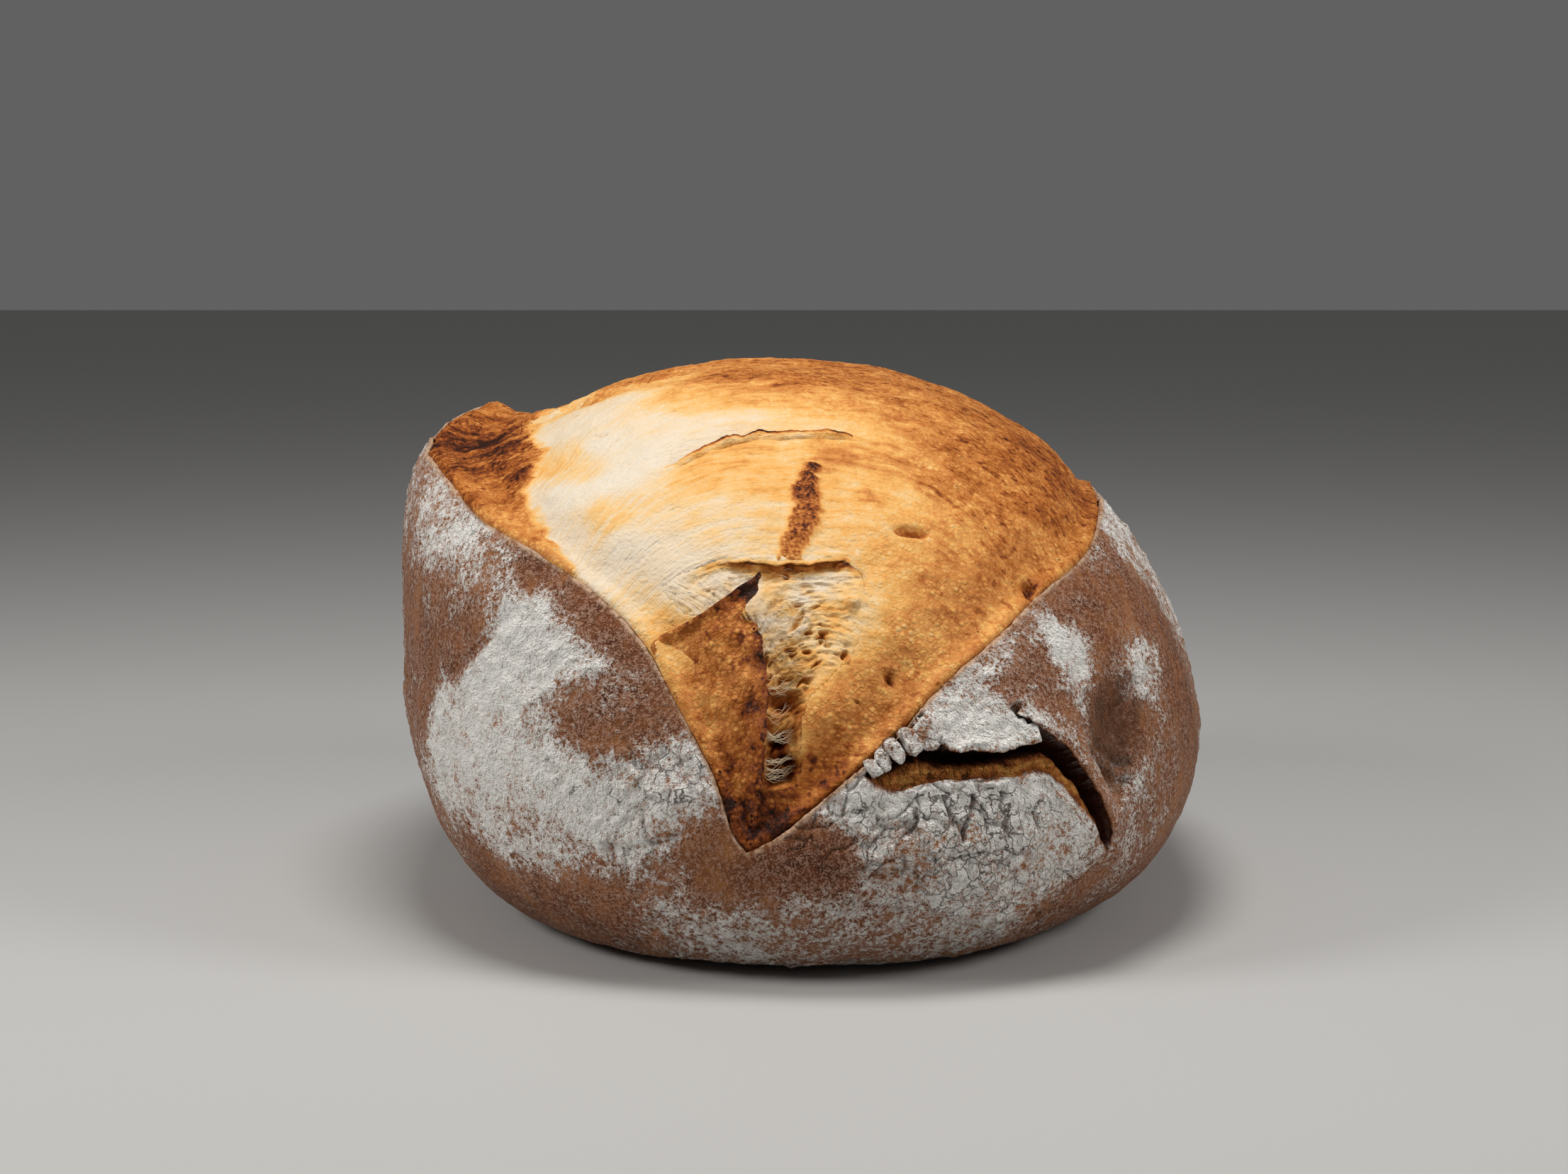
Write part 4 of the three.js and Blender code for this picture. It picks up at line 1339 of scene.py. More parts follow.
def scab_at(points, x, over):
    """1 on the strip of older skin that was left across the golden skin, 0 beside it."""
    distance, share = near_line(on_chart(SCAB), x, over * MM_PER_OVER)
    half_width = SCAB_HALF_WIDTH * (0.55 + 0.45 * smooth_step(0, 0.3, share))
    half_width = half_width + SCAB_RAGGEDNESS * swells(points, 1.8, 105, layers=2)
    return smooth_step(0.6, -0.8, distance - half_width)


def crumb_relief(points):
    """Height of the crumb's relief at smooth points, with marks for its finish."""
    x, over = points[..., 0], over_angle(points)
    in_front = points[..., 1] < 0
    skin, blister = crumb_skin(points, x, over)
    inside, depth = fresh_crumb(points)
    by_arch = smooth_step(-4, -1.5, side_of(TORN_EDGE, x, over)[0])
    sunk = smooth_step(0.0, 1.4, inside + 0.4 * by_arch) * (depth + SINK_UNDER_FRESH)
    folded, dropped = fold_relief(x, over)
    scab = scab_at(points, x, over)
    crusty = SCAB_RISE * scab * (0.8 + 0.6 * swells(points, 1.3, 141, layers=2))
    hollow = hollows_at(x, over)
    relief = skin + (folded - dropped + crusty - hollow - sunk + pit(PEAK, x, over)) * in_front
    marks = {
        "blister": blister,
        "scab": scab * in_front,
        "fresh": smooth_step(-0.5, 0.5, inside),
        # how deep the hollows are; the finish paints them darker as shade
        "hollow": np.clip(hollow / DEEP_HOLLOW, 0, 1) * in_front,
    }
    return relief, marks


relief, crumb_marks = crumb_relief(crumb_smooth)
print("crumb relief runs from", round(float(relief.min()), 1), "to", round(float(relief.max()), 1), "mm")

# %% [markdown]
# ## The crumb as a piece
#
# The relief fades out at the rim, so that the crumb slides cleanly under the crust's lip. What is under
# the crust is kept inside the wall and cut off flat well above the table.

# %% Crumb piece
UNDERSIDE_HEIGHT = 14.0
UNDER_WALL = 3.0
HIGHEST_WALL = 100.0


def kept_inside_wall(points):
    """Points whose hidden part is drawn in until it lies under the wall."""
    wall_beside = wall_points(compass(points), np.minimum(points[..., 2], HIGHEST_WALL))
    wall_room = np.linalg.norm(wall_beside[..., :2], axis=-1) - UNDER_WALL
    radius = np.maximum(np.linalg.norm(points[..., :2], axis=-1), 1e-6)
    hidden = smooth_step(0, -UNDER_WALL, inward)
    points[..., :2] *= (1 - hidden * (1 - np.minimum(1, wall_room / radius)))[..., None]
    return points


def make_crumb():
    open_part = smooth_step(-1.0, 2.5, inward)
    points = crumb_smooth + grid_normals(crumb_smooth) * (relief * open_part)[..., None]
    points[..., 2] = np.maximum(points[..., 2], UNDERSIDE_HEIGHT)
    ring, along = strand_place(crumb_x, crumb_over)
    marks = dict(crumb_marks, browning=browning, ring=ring, along=along)
    return closed_surfaces("crumb", kept_inside_wall(points)[None], marks)


crumb = make_crumb()

# %% [markdown]
# ## Fresh crumb
#
# The last dough to tear is drawn out into walls and threads with lens-shaped holes between them, all
# combed the same way. The holes are a cell pattern that is squeezed along the strands.

# %% Lens holes
FIRST_REACH, REACH_STEPS = 100.0, 8
LENS_SIZE, SMALL_LENS_SIZE, LENS_LENGTH, LENS_DEPTH = 1.5, 1.5 / 2.2, 2.4, 1.9
VALLEY_X, VALLEY_ARCH = 3, 0.045


def crumb_at(x, over):
    """Smooth crumb points and outward directions at places on the chart."""
    reach = np.full(np.shape(x), FIRST_REACH)
    for _ in range(REACH_STEPS):
        pole_angle = np.degrees(np.arccos(np.clip((x - DOME_CENTRE[0]) / reach, -1, 1)))
        direction = dome_direction(pole_angle, over)
        reach = dome_radius(direction)
    return crumb_surface(direction, rim)[0], direction


def fan_place(x, over):
    """Strand places that also arch over the valley, as the dough was pulled to both sides of it."""
    ring, along = strand_place(x, over)
    return ring + VALLEY_ARCH * (x - VALLEY_X) ** 2 * smooth_step(25, 19, over), along


def lens_holes(points, x, over):
    """Depth of holes between the combed walls of torn dough."""
    warp_x, warp_over = 1.1 * swells(points, 4.0, 203, layers=2), 0.5 * swells(points, 3.0, 207, layers=2)
    ring, along = fan_place(x + warp_x, over + warp_over)
    combed = np.stack([ring, along / LENS_LENGTH, 0 * ring], axis=-1)
    nearest, second, number = cells(combed, LENS_SIZE, 211)
    big = number**1.5 * smooth_step(0.0, 0.45, second - nearest)
    nearest, second, number = cells(combed, SMALL_LENS_SIZE, 221)
    small = number * smooth_step(0.0, 0.5, second - nearest)
    shallow_above = 0.35 + 0.65 * smooth_step(23, 19, over)
    return LENS_DEPTH * (big + 0.3 * small) * shallow_above


middle_points, _ = crumb_at(np.array([-5.0]), np.array([20.0]))
print("the middle of the fresh crumb is at", middle_points[0].round(1))

# %% [markdown]
# ## Fresh crumb as a piece
#
# At a quarter of a millimetre between its points, this sheet is fine enough to carry the holes as real
# shape. Outside the tear it dives under the skin.

# %% Fresh crumb piece
FRESH_SPAN_X, FRESH_SPAN_OVER = (-28.5, 12.8), (3.0, 27.2)
FRESH_ROWS, FRESH_COLUMNS = 190, 165
FRESH_THICKNESS = 1.2
THREAD_SIZE, THREAD_LENGTH, THREAD_HEIGHT = 0.7, 9, 0.2
PEAK_REACH, ARCH_REACH = 2.0, 1.6
# painted shade in the holes and a painted shadow under the arch; the peak is browner in its own right
HOLE_PAINTED_SHADE, PEAK_BROWNING, ARCH_PAINTED_SHADOW = 0.24, 0.26, 0.42
# these darken towards the valley at the bottom of the V, partly as painted shade
FRESH_BROWNING = [
    (-24, 23, 0.20), (-15, 24.5, 0.14), (-5, 24, 0.20), (4, 24, 0.20), (9, 22, 0.32), (5, 18, 0.34),
    (0, 20, 0.22), (-5, 18, 0.26), (-3, 14, 0.38), (-4, 10, 0.50), (0, 10, 0.54), (-5, 5, 0.66),
    (-12, 21, 0.24),
]
CRUMB_MARKS = ("browning", "blister", "scab", "fresh", "hollow", "ring", "along")


def share_of_skin(x, over, inside):
    """1 where the fresh crumb runs out into the baked skin at its open sides, 0 elsewhere."""
    under_edge, _ = side_of(TORN_EDGE, x, over)
    open_side = smooth_step(0, 4, x) + smooth_step(-12, -15, x)
    away_from_arch = np.maximum(smooth_step(-1.5, -4, under_edge), smooth_step(-19, -23, x))
    return smooth_step(6.0, 0, inside) * open_side * away_from_arch


def fresh_height(x, over, skin, holes, inside, depth, to_skin):
    """Height of the fresh crumb over the smooth dome; outside the tear it dives under the skin."""
    ring, along = fan_place(x, over)
    drawn_out = np.stack([ring, along / THREAD_LENGTH, 0 * ring], axis=-1)
    threads = THREAD_HEIGHT * swells(drawn_out, THREAD_SIZE, 231, layers=2)
    dive = 0.3 * (1 - to_skin) - 0.4 * np.minimum(inside, 0)
    height = skin - depth * smooth_step(0, 1.5 + 3 * to_skin, inside) - dive * smooth_step(0.4, -0.3, inside)
    torn = smooth_step(-0.3, 1.2, inside) * (threads - holes - hollows_at(x, over))
    return height + torn + pit(PEAK, x, over)


def fresh_browning(base, x, over, holes, to_skin):
    """Browning of the fresh crumb; its peak is darker, and its holes and the arch get painted shade."""
    under_edge, edge_span = side_of(TORN_EDGE, x, over)
    from_peak = np.hypot(x - PEAK[0], (over - PEAK[1]) * MM_PER_OVER)
    browned = from_readings(FRESH_BROWNING, x, over, MM_PER_OVER) + 0.12 * swells(base, 4.0, 241, layers=2)
    # painted shade in the holes
    browned = browned + HOLE_PAINTED_SHADE * np.clip(holes / LENS_DEPTH, 0, 1)
    browned = browned + PEAK_BROWNING * mound(from_peak, PEAK_REACH)
    # a painted shadow under the overhanging arch edge
    painted_shadow_under_arch = edge_span * mound(under_edge + 0.3, ARCH_REACH) * smooth_step(-22, -14, x)
    browned = browned + ARCH_PAINTED_SHADOW * painted_shadow_under_arch
    return browned * (1 - to_skin) + browning_at(base, x, over) * to_skin


def make_fresh_crumb():
    over = np.linspace(*FRESH_SPAN_OVER, FRESH_ROWS)[:, None] + np.zeros(FRESH_COLUMNS)
    x = np.linspace(*FRESH_SPAN_X, FRESH_COLUMNS) + np.zeros((FRESH_ROWS, 1))
    base, direction = crumb_at(x, over)
    inside, depth = fresh_crumb(base)
    to_skin = share_of_skin(x, over, inside)
    skin, blister = crumb_skin(base, x, over)
    holes = lens_holes(base, x, over) * (1 - 0.7 * to_skin) * smooth_step(-0.5, 3.0, inside)
    height = fresh_height(x, over, skin, holes, inside, depth, to_skin)
    ring, along = fan_place(x, over)
    marks = all_marks(
        CRUMB_MARKS, x,
        browning=fresh_browning(base, x, over, holes, to_skin),
        blister=blister * to_skin,
        # how deep the hollows are, painted darker as shade by the finish
        hollow=np.clip(hollows_at(x, over) / DEEP_HOLLOW, 0, 1),
        ring=ring,
        along=along,
    )
    thickness = np.full(x.shape, FRESH_THICKNESS)
    return sheet_piece("fresh_crumb", base + direction * height[..., None], direction, thickness, marks)


fresh_crumb_piece = make_fresh_crumb()

# %% [markdown]
# ## Torn edges of the crumb
#
# Two edges cross the crumb: the lower one hangs over the fresh crumb, and the upper one is the top of
# the golden skin, which shrank away from the white crumb above it and scorched where it stood up.

# %% Crumb edges
ARCH_EDGE = [(x, over - 0.3) for x, over in TORN_EDGE[2:-1]]
CRUMB_EDGES = [
    # line of the free edge, way back to the root, lift, thickness, raggedness, fade
    (on_chart(ARCH_EDGE), (0.0, 4.5), 0.55, 1.3, 0.08, 8.0),
    (on_chart(UPPER_FOLD), (0.0, -4.5), 1.5, 1.1, 0.22, 10.0),
]
EDGE_SCORCH = [
    # browning all along the free edge, and spots of it: across, reach, strength
    (0.26, []),
    (0.22, [(-9, 4.0, 0.60), (-19, 3.0, 0.35), (-14, 3.5, 0.30), (-2, 3.0, 0.25), (6, 3.0, 0.25)]),
]
# painted shade on the undersides of the torn crumb edges
UNDERSIDE_PAINTED_SHADE = 0.35


def on_crumb_skin(x, up):
    """Points on the crumb's own skin, and outward directions, at places on the chart."""
    over = up / MM_PER_OVER
    points, direction = crumb_at(x, over)
    skin, _ = crumb_skin(points, x, over)
    return points + direction * skin[..., None], direction


def make_crumb_edges():
    grids, marks = [], []
    for number, ((*shape, fade), (all_along, spots)) in enumerate(zip(CRUMB_EDGES, EDGE_SCORCH)):
        grid, x, up, to_edge = torn_sheet(*shape, fade, on_crumb_skin, 400 + 10 * number)
        over = up / MM_PER_OVER
        under = np.zeros_like(x)
        under[:, SHEET_COLUMNS:] = 1
        scorched = all_along + sum(strength * mound(x - at, reach) for at, reach, strength in spots)
        browned = browning_at(crumb_at(x, over)[0], x, over) + smooth_step(0.6, 1.0, to_edge) * scorched
        ring, along = strand_place(x, over)
        grids.append(grid)
        # the undersides get painted shade
        marks.append(all_marks(
            CRUMB_MARKS, x, browning=browned + UNDERSIDE_PAINTED_SHADE * under, ring=ring, along=along,
        ))
    return closed_surfaces("crumb_edges", np.stack(grids), stacked(marks))


crumb_edges = make_crumb_edges()

# %% [markdown]
# ## The flap
#
# Beside the valley a flap of blistered skin came loose. It is a thin sheet of its own, rooted along the
# left rim, that stands away from the crumb towards its free edge, where it scorched and curled. Its
# outline is read from bottom to tip as degrees over, left edge and right edge. Its height and browning
# are readings at places across and over.

# %% Flap
FLAP_SPANS = [
    (0.5, -13.4, -9.2), (3.0, -16.4, -8.4), (6.0, -19.0, -7.7), (9.4, -21.4, -7.2), (12.7, -24.8, -6.9),
    (15.5, -27.4, -7.3), (17.2, -28.6, -7.9), (18.4, -27.6, -8.4), (19.3, -23.6, -9.1), (19.8, -21.2, -11.9),
    (20.4, -19.0, -11.7), (21.2, -16.8, -11.0), (22.2, -14.2, -9.4), (23.2, -11.8, -8.6), (23.8, -9.8, -8.4),
    (24.5, -8.7, -8.4),
]
FLAP_LIFTS = [
    (-14, 1, -0.6), (-17, 5, -0.4), (-21, 10, -0.3), (-26, 14.5, -0.3), (-28, 17.5, 0.1), (-8.8, 1.5, 0.2),
    (-8.0, 5, 1.2), (-7.2, 9, 1.9), (-7.0, 13, 2.2), (-8.2, 17.5, 2.4), (-10, 19.4, 2.2), (-12, 20, 1.7),
    (-11, 22, 2.4), (-8.6, 24.5, 2.6), (-14, 21.5, 2.0), (-19, 20, 1.3), (-24, 19, 0.8), (-16, 14, 0.4),
    (-12, 9, 0.5), (-13, 16, 0.9), (-11, 5, 0.3), (-12, 12, 0.7),
]
FLAP_LIFT_SOFTNESS = 2.0
FLAP_BROWNING = [
    (-24, 16, 0.46), (-20, 12, 0.52), (-14, 15, 0.57), (-17, 13, 0.58), (-10.2, 12, 0.66), (-15, 11, 0.57),
    (-12, 8, 0.62), (-13, 4, 0.76), (-9, 2, 0.88), (-19, 9, 0.52), (-13, 18, 0.58), (-19, 18, 0.60),
    (-14, 20.5, 0.68), (-9.6, 23.6, 0.82), (-17, 5, 0.60), (-8, 15, 0.66), (-8, 9, 0.68),
]
DARKEST_FLAP = 0.86
FLAP_ROWS, FLAP_COLUMNS = 96, 64
FLAP_EVENNESS = 0.85
FLAP_THICKNESS, FLAP_EDGE_THICKNESS, FLAP_THINNING = 1.3, 0.35, 2.5
FLAP_RAGGEDNESS, FLAP_BLISTER = 0.28, 2.3
CURLED_EDGE = [(-28.5, 17.6), (-22.6, 19.3), (-15.3, 21.9), (-9.4, 24.2), (-8.2, 25.2)]


def flap_places():
    """Places on the chart that the flap covers, and the way to its ragged right edge in mm."""
    overs, lefts, rights = np.array(FLAP_SPANS).T
    over = np.linspace(overs[0], overs[-1], FLAP_ROWS)[:, None]
    share = np.linspace(0, 1, FLAP_COLUMNS)[None, :] ** FLAP_EVENNESS
    left, right = np.interp(over, overs, lefts), np.interp(over, overs, rights)
    up_it = np.stack([0 * over, over * MM_PER_OVER, 0 * over], axis=-1)
    right = right + FLAP_RAGGEDNESS * swells(up_it, 0.9, 151, layers=2)
    x = left + (right - left) * share
    return x, over + 0 * x, right - x


def make_flap():
    x, over, to_edge = flap_places()
    past_curl, _ = side_of(CURLED_EDGE, x, over)
    base, direction = crumb_at(x, over)
    lift = from_readings(FLAP_LIFTS, x, over, MM_PER_OVER, FLAP_LIFT_SOFTNESS)
    nearest, _, _ = cells(base, FLAP_BLISTER, 161)
    skin = 0.25 * smooth_step(0.75, 0.1, nearest) + 0.25 * swells(base, 5.0, 165, layers=2)
    curl = 0.5 * mound(to_edge, 1.2) + 0.9 * mound(past_curl, 1.6)
    top = base + direction * (lift + skin + curl)[..., None]
    whole = smooth_step(0, FLAP_THINNING, np.minimum(to_edge, -past_curl))
    thickness = FLAP_EDGE_THICKNESS + (FLAP_THICKNESS - FLAP_EDGE_THICKNESS) * whole
    edge = np.maximum(mound(to_edge, 1.1), 0.9 * mound(past_curl, 2.4))
    browned = from_readings(FLAP_BROWNING, x, over, MM_PER_OVER) + 0.12 * swells(base, 5.0, 171, layers=2)
    browned = np.clip(browned + 0.12 * edge, 0, DARKEST_FLAP)
    marks = all_marks(CRUMB_MARKS, x, browning=browned, blister=0 * x + 1)
    return sheet_piece("flap", top, direction, thickness, marks)


flap = make_flap()

# %% [markdown]
# ## Strands
#
# Where the dough tore while it was still soft, it drew out into threads, like the gluten that a baker
# looks for. Some are stretched across the valley like webs; most lie combed over the fresh crumb. Each is
# a thin tapered tube, and they are joined into one mesh.

# %% Strands
STRAND_SIDES = 5
STRAND_POINTS = 10
STRAND_TIP = 0.12
WEB_COUNT = 60
WEBS = [
    # place over, and how far from it the threads are tied
    (13.4, 0.7), (11.0, 0.4), (8.8, 0.6), (6.6, 0.3), (5.4, 0.5),
]
WEB_ROOT_X = -7.6
WEB_LENGTHS, WEB_RADII = (3.5, 6.5), (0.03, 0.07)
WEB_WAVE = 0.16
FIBRE_FIELDS = [
    # count, x range, over range, length range in mm, radius
    (45, (-7, 1), (13, 22), (2, 5), 0.05),
    (40, (-20, 6), (23, 26), (2, 4), 0.045),
]
FIBRE_WAVE, FIBRE_STRAY = 0.25, 0.14
STRAND_SEED = 7


def tubes(lines, radii):
    """Grid points of many tapered tubes along lines: an array of lines by places by sides."""
    tangent = np.gradient(lines, axis=1)
    tangent /= np.linalg.norm(tangent, axis=-1, keepdims=True)
    side = np.cross(tangent, [0.31, 0.17, 0.94])
    side /= np.linalg.norm(side, axis=-1, keepdims=True)
    other = np.cross(tangent, side)
    turns = np.arange(STRAND_SIDES) * 2 * math.pi / STRAND_SIDES
    ring = side[..., None, :] * np.cos(turns)[:, None] + other[..., None, :] * np.sin(turns)[:, None]
    taper = np.sin(np.linspace(STRAND_TIP, math.pi - STRAND_TIP, lines.shape[1])) ** 0.6
    return lines[..., None, :] + ring * (radii[:, None] * taper)[..., None, None]


def web_lines(rng):
    """Threads across the valley, tied in a few webs under the flap's edge."""
    t = np.linspace(0, 1, STRAND_POINTS)
    middle, tied_within = np.array(WEBS)[rng.integers(0, len(WEBS), WEB_COUNT)].T
    start = rng.uniform(-1.0, 1.0, WEB_COUNT) * tied_within
    end = rng.uniform(-1.8, 1.5, WEB_COUNT) * tied_within + 0.3
    length = rng.uniform(*WEB_LENGTHS, WEB_COUNT)
    x = WEB_ROOT_X + t * length[:, None]
    over = middle[:, None] + start[:, None] * (1 - t) + end[:, None] * t
    over = over - rng.uniform(0.0, 0.9, WEB_COUNT)[:, None] * np.sin(t * math.pi)
    waves, phase = rng.uniform(4, 14, WEB_COUNT)[:, None], rng.uniform(0, 6, WEB_COUNT)[:, None]
    over = over + WEB_WAVE * np.sin(t * waves + phase)
    base, direction = crumb_at(x, over)
    _, depth = fresh_crumb(base)
    sag = rng.uniform(0.1, 0.4, WEB_COUNT)[:, None] * np.sin(t * math.pi)
    return base + direction * (0.3 * (1 - t) - 1.15 * depth * t - sag * depth)[..., None]


def fibre_lines(rng, count, x_range, over_range, lengths):
    """Threads that lie on the crumb and follow its strands."""
    t = np.linspace(-0.5, 0.5, STRAND_POINTS)
    x = rng.uniform(*x_range, count)
    over = rng.uniform(*over_range, count)
    slope = -np.sign(x) * 3 * x**2 / STRAND_BEND + rng.normal(0, FIBRE_STRAY, count)
    run = rng.uniform(*lengths, count) / np.hypot(1, slope)
    wave = rng.uniform(-FIBRE_WAVE, FIBRE_WAVE, count)[:, None] * np.sin(t * 9)
    x_line = x[:, None] + t * run[:, None]
    over_line = over[:, None] + (t * (run * slope)[:, None] + wave) / MM_PER_OVER
    base, direction = crumb_at(x_line, over_line)
    _, depth = fresh_crumb(base)
    lie = crumb_skin(base, x_line, over_line)[0] - depth
    smoothed = 0.5 * lie + 0.5 * lie.mean(axis=1, keepdims=True)
    lift = smoothed + rng.uniform(0.0, 0.3, count)[:, None] - 0.7 * (2 * t) ** 4
    return base + direction * lift[..., None]


def make_strands():
    rng = np.random.default_rng(STRAND_SEED)
    lines, radii = [web_lines(rng)], [rng.uniform(*WEB_RADII, WEB_COUNT)]
    for count, x_range, over_range, lengths, radius in FIBRE_FIELDS:
        lines.append(fibre_lines(rng, count, x_range, over_range, lengths))
        radii.append(radius * rng.uniform(0.6, 1.3, count))
    grid = tubes(np.concatenate(lines), np.concatenate(radii))
    return closed_surfaces("strands", grid, {})


strands = make_strands()

# %% [markdown]
# ## Writing finishes as sums
#
# A finish is worked out like any other quantity: so much browning, plus some mottling, less where a
# blister catches the light. Two small classes let the node graph be written that way. A Signal is a
# value in the graph that adds and multiplies like a number, and a Finish makes the nodes.

# %% Finish writer
NOISE_GAIN = 1.6


class Signal:
    """A value in a finish's node graph that does arithmetic as a number does."""

    def __init__(self, finish, socket):
        self.finish, self.socket = finish, socket

    def __add__(self, other):
        return self.finish.calculate("ADD", self, other)

    def __sub__(self, other):
        return self.finish.calculate("SUBTRACT", self, other)

    def __rsub__(self, other):
        return self.finish.calculate("SUBTRACT", other, self)

    def __mul__(self, other):
        return self.finish.calculate("MULTIPLY", self, other)

    __radd__ = __add__
    __rmul__ = __mul__


class Finish:
    """A procedural material in the making."""

    def __init__(self, name):
        self.material = bpy.data.materials.new(name)
        self.material.use_nodes = True
        self.tree = self.material.node_tree
        self.shader = self.tree.nodes["Principled BSDF"]
        place = self.node("ShaderNodeTexCoord", {}, {}, "Object")
        self.place_mm = self.node("ShaderNodeVectorMath", {"operation": "SCALE"}, {0: place, "Scale": 1 / MM})

    def plug(self, socket, value):
        """Link a signal into a socket, or set a plain value on it."""
        if isinstance(value, Signal):
            self.tree.links.new(value.socket, socket)
        else:
            socket.default_value = value

    def node(self, kind, settings, inputs, out=0):
        """Add a node: its settings first, then its sockets. Returns the signal that leaves it."""
        node = self.tree.nodes.new(kind)
        for setting, value in settings.items():
            setattr(node, setting, value)
        for socket, value in inputs.items():
            self.plug(node.inputs[socket], value)
        return Signal(self, node.outputs[out])

    def calculate(self, operation, a, b):
        return self.node("ShaderNodeMath", {"operation": operation}, {0: a, 1: b})

    def mark(self, name):
        return self.node("ShaderNodeAttribute", {"attribute_name": name}, {}, "Fac")

    def grain(self, size, detail=3.0, place=None, shift=0.0):
        """Rolling noise of the given size in mm, from about -0.5 to 0.5."""
        place = place or self.place_mm
        moved = self.node("ShaderNodeVectorMath", {"operation": "ADD"}, {0: place, 1: (shift,) * 3})
        inputs = {"Vector": moved, "Scale": 1 / size, "Detail": detail}
        return (self.node("ShaderNodeTexNoise", {}, inputs, "Fac") - 0.5) * NOISE_GAIN

    def cells(self, size, feature="F1", shift=0.0):
        """Distance in a cell pattern of the given size in mm: from seeds (F1) or from the seams."""
        moved = self.node("ShaderNodeVectorMath", {"operation": "ADD"}, {0: self.place_mm, 1: (shift,) * 3})
        inputs = {"Vector": moved, "Scale": 1 / size}
        return self.node("ShaderNodeTexVoronoi", {"feature": feature}, inputs, "Distance")

    def seams(self, size, warp_mm):
        """Distance from the seams of a cell pattern whose places are pushed about by noise."""
        inputs = {"Vector": self.place_mm, "Scale": 0.35, "Detail": 3.0}
        push = self.node("ShaderNodeTexNoise", {}, inputs, "Color")
        push = self.node("ShaderNodeVectorMath", {"operation": "SCALE"}, {0: push, "Scale": warp_mm})
        moved = self.node("ShaderNodeVectorMath", {"operation": "ADD"}, {0: self.place_mm, 1: push})
        inputs = {"Vector": moved, "Scale": 1 / size}
        return self.node("ShaderNodeTexVoronoi", {"feature": "DISTANCE_TO_EDGE"}, inputs, "Distance")

    def cell_number(self, size):
        """A different number from 0 to 1 for each cell of the pattern of the given size in mm."""
        inputs = {"Vector": self.place_mm, "Scale": 1 / size}
        colour = self.node("ShaderNodeTexVoronoi", {}, inputs, "Color")
        return self.node("ShaderNodeSeparateColor", {}, {"Color": colour})

    def step(self, low, high, value):
        """0 up to low, 1 from high on, with a soft slope between; low may be the larger."""
        limits = {"Value": value, "From Min": low, "From Max": high}
        return self.node("ShaderNodeMapRange", {"interpolation_type": "SMOOTHSTEP"}, limits)

    def mix(self, share, a, b):
        """Colour a where share is 0, b where it is 1."""
        return self.node("ShaderNodeMix", {"data_type": "RGBA"}, {0: share, 6: a, 7: b}, 2)

    def ramp(self, value, stops):
        """A colour for each value, through stops of (value, colour)."""
        signal = self.node("ShaderNodeValToRGB", {}, {"Fac": value})
        ramp = signal.socket.node.color_ramp
        while len(ramp.elements) < len(stops):
            ramp.elements.new(1.0)
        for element, (place, colour) in zip(ramp.elements, stops):
            element.position = place
            element.color = (*colour, 1.0)
        return signal

    def bump(self, height_mm):
        normal = self.node("ShaderNodeBump", {}, {"Height": height_mm, "Distance": MM, "Strength": 1.0})
        self.plug(self.shader.inputs["Normal"], normal)


sums = [name for name in vars(Signal) if name.startswith("__r")]
print("a number on the left side works in", sums)

# %% [markdown]
# ## Crumb finish
#
# Bread browns along one path: white, cream, gold, orange brown, dark brown and black. The charts say how
# far along it each place is, and in places they also hold painted shade. Everything else only pushes it a
# little further or back: mottling, streaks along the strands, painted highlights on blister tops and
# painted shade in the gaps between them and in the hollows.

# %% Crumb finish
BROWNING_PATH = [
    (0.00, (0.69, 0.61, 0.50)), (0.14, (0.70, 0.56, 0.39)), (0.28, (0.74, 0.48, 0.21)),
    (0.42, (0.73, 0.375, 0.10)), (0.56, (0.56, 0.215, 0.050)), (0.70, (0.36, 0.105, 0.016)),
    (0.82, (0.19, 0.042, 0.007)), (0.92, (0.075, 0.015, 0.003)), (1.00, (0.022, 0.005, 0.001)),
]
STREAK_SHORTENING = 0.14
BUBBLE_SIZE = 1.25
CRUMB_SHINE, CRUST_SHINE = 0.14, 0.12


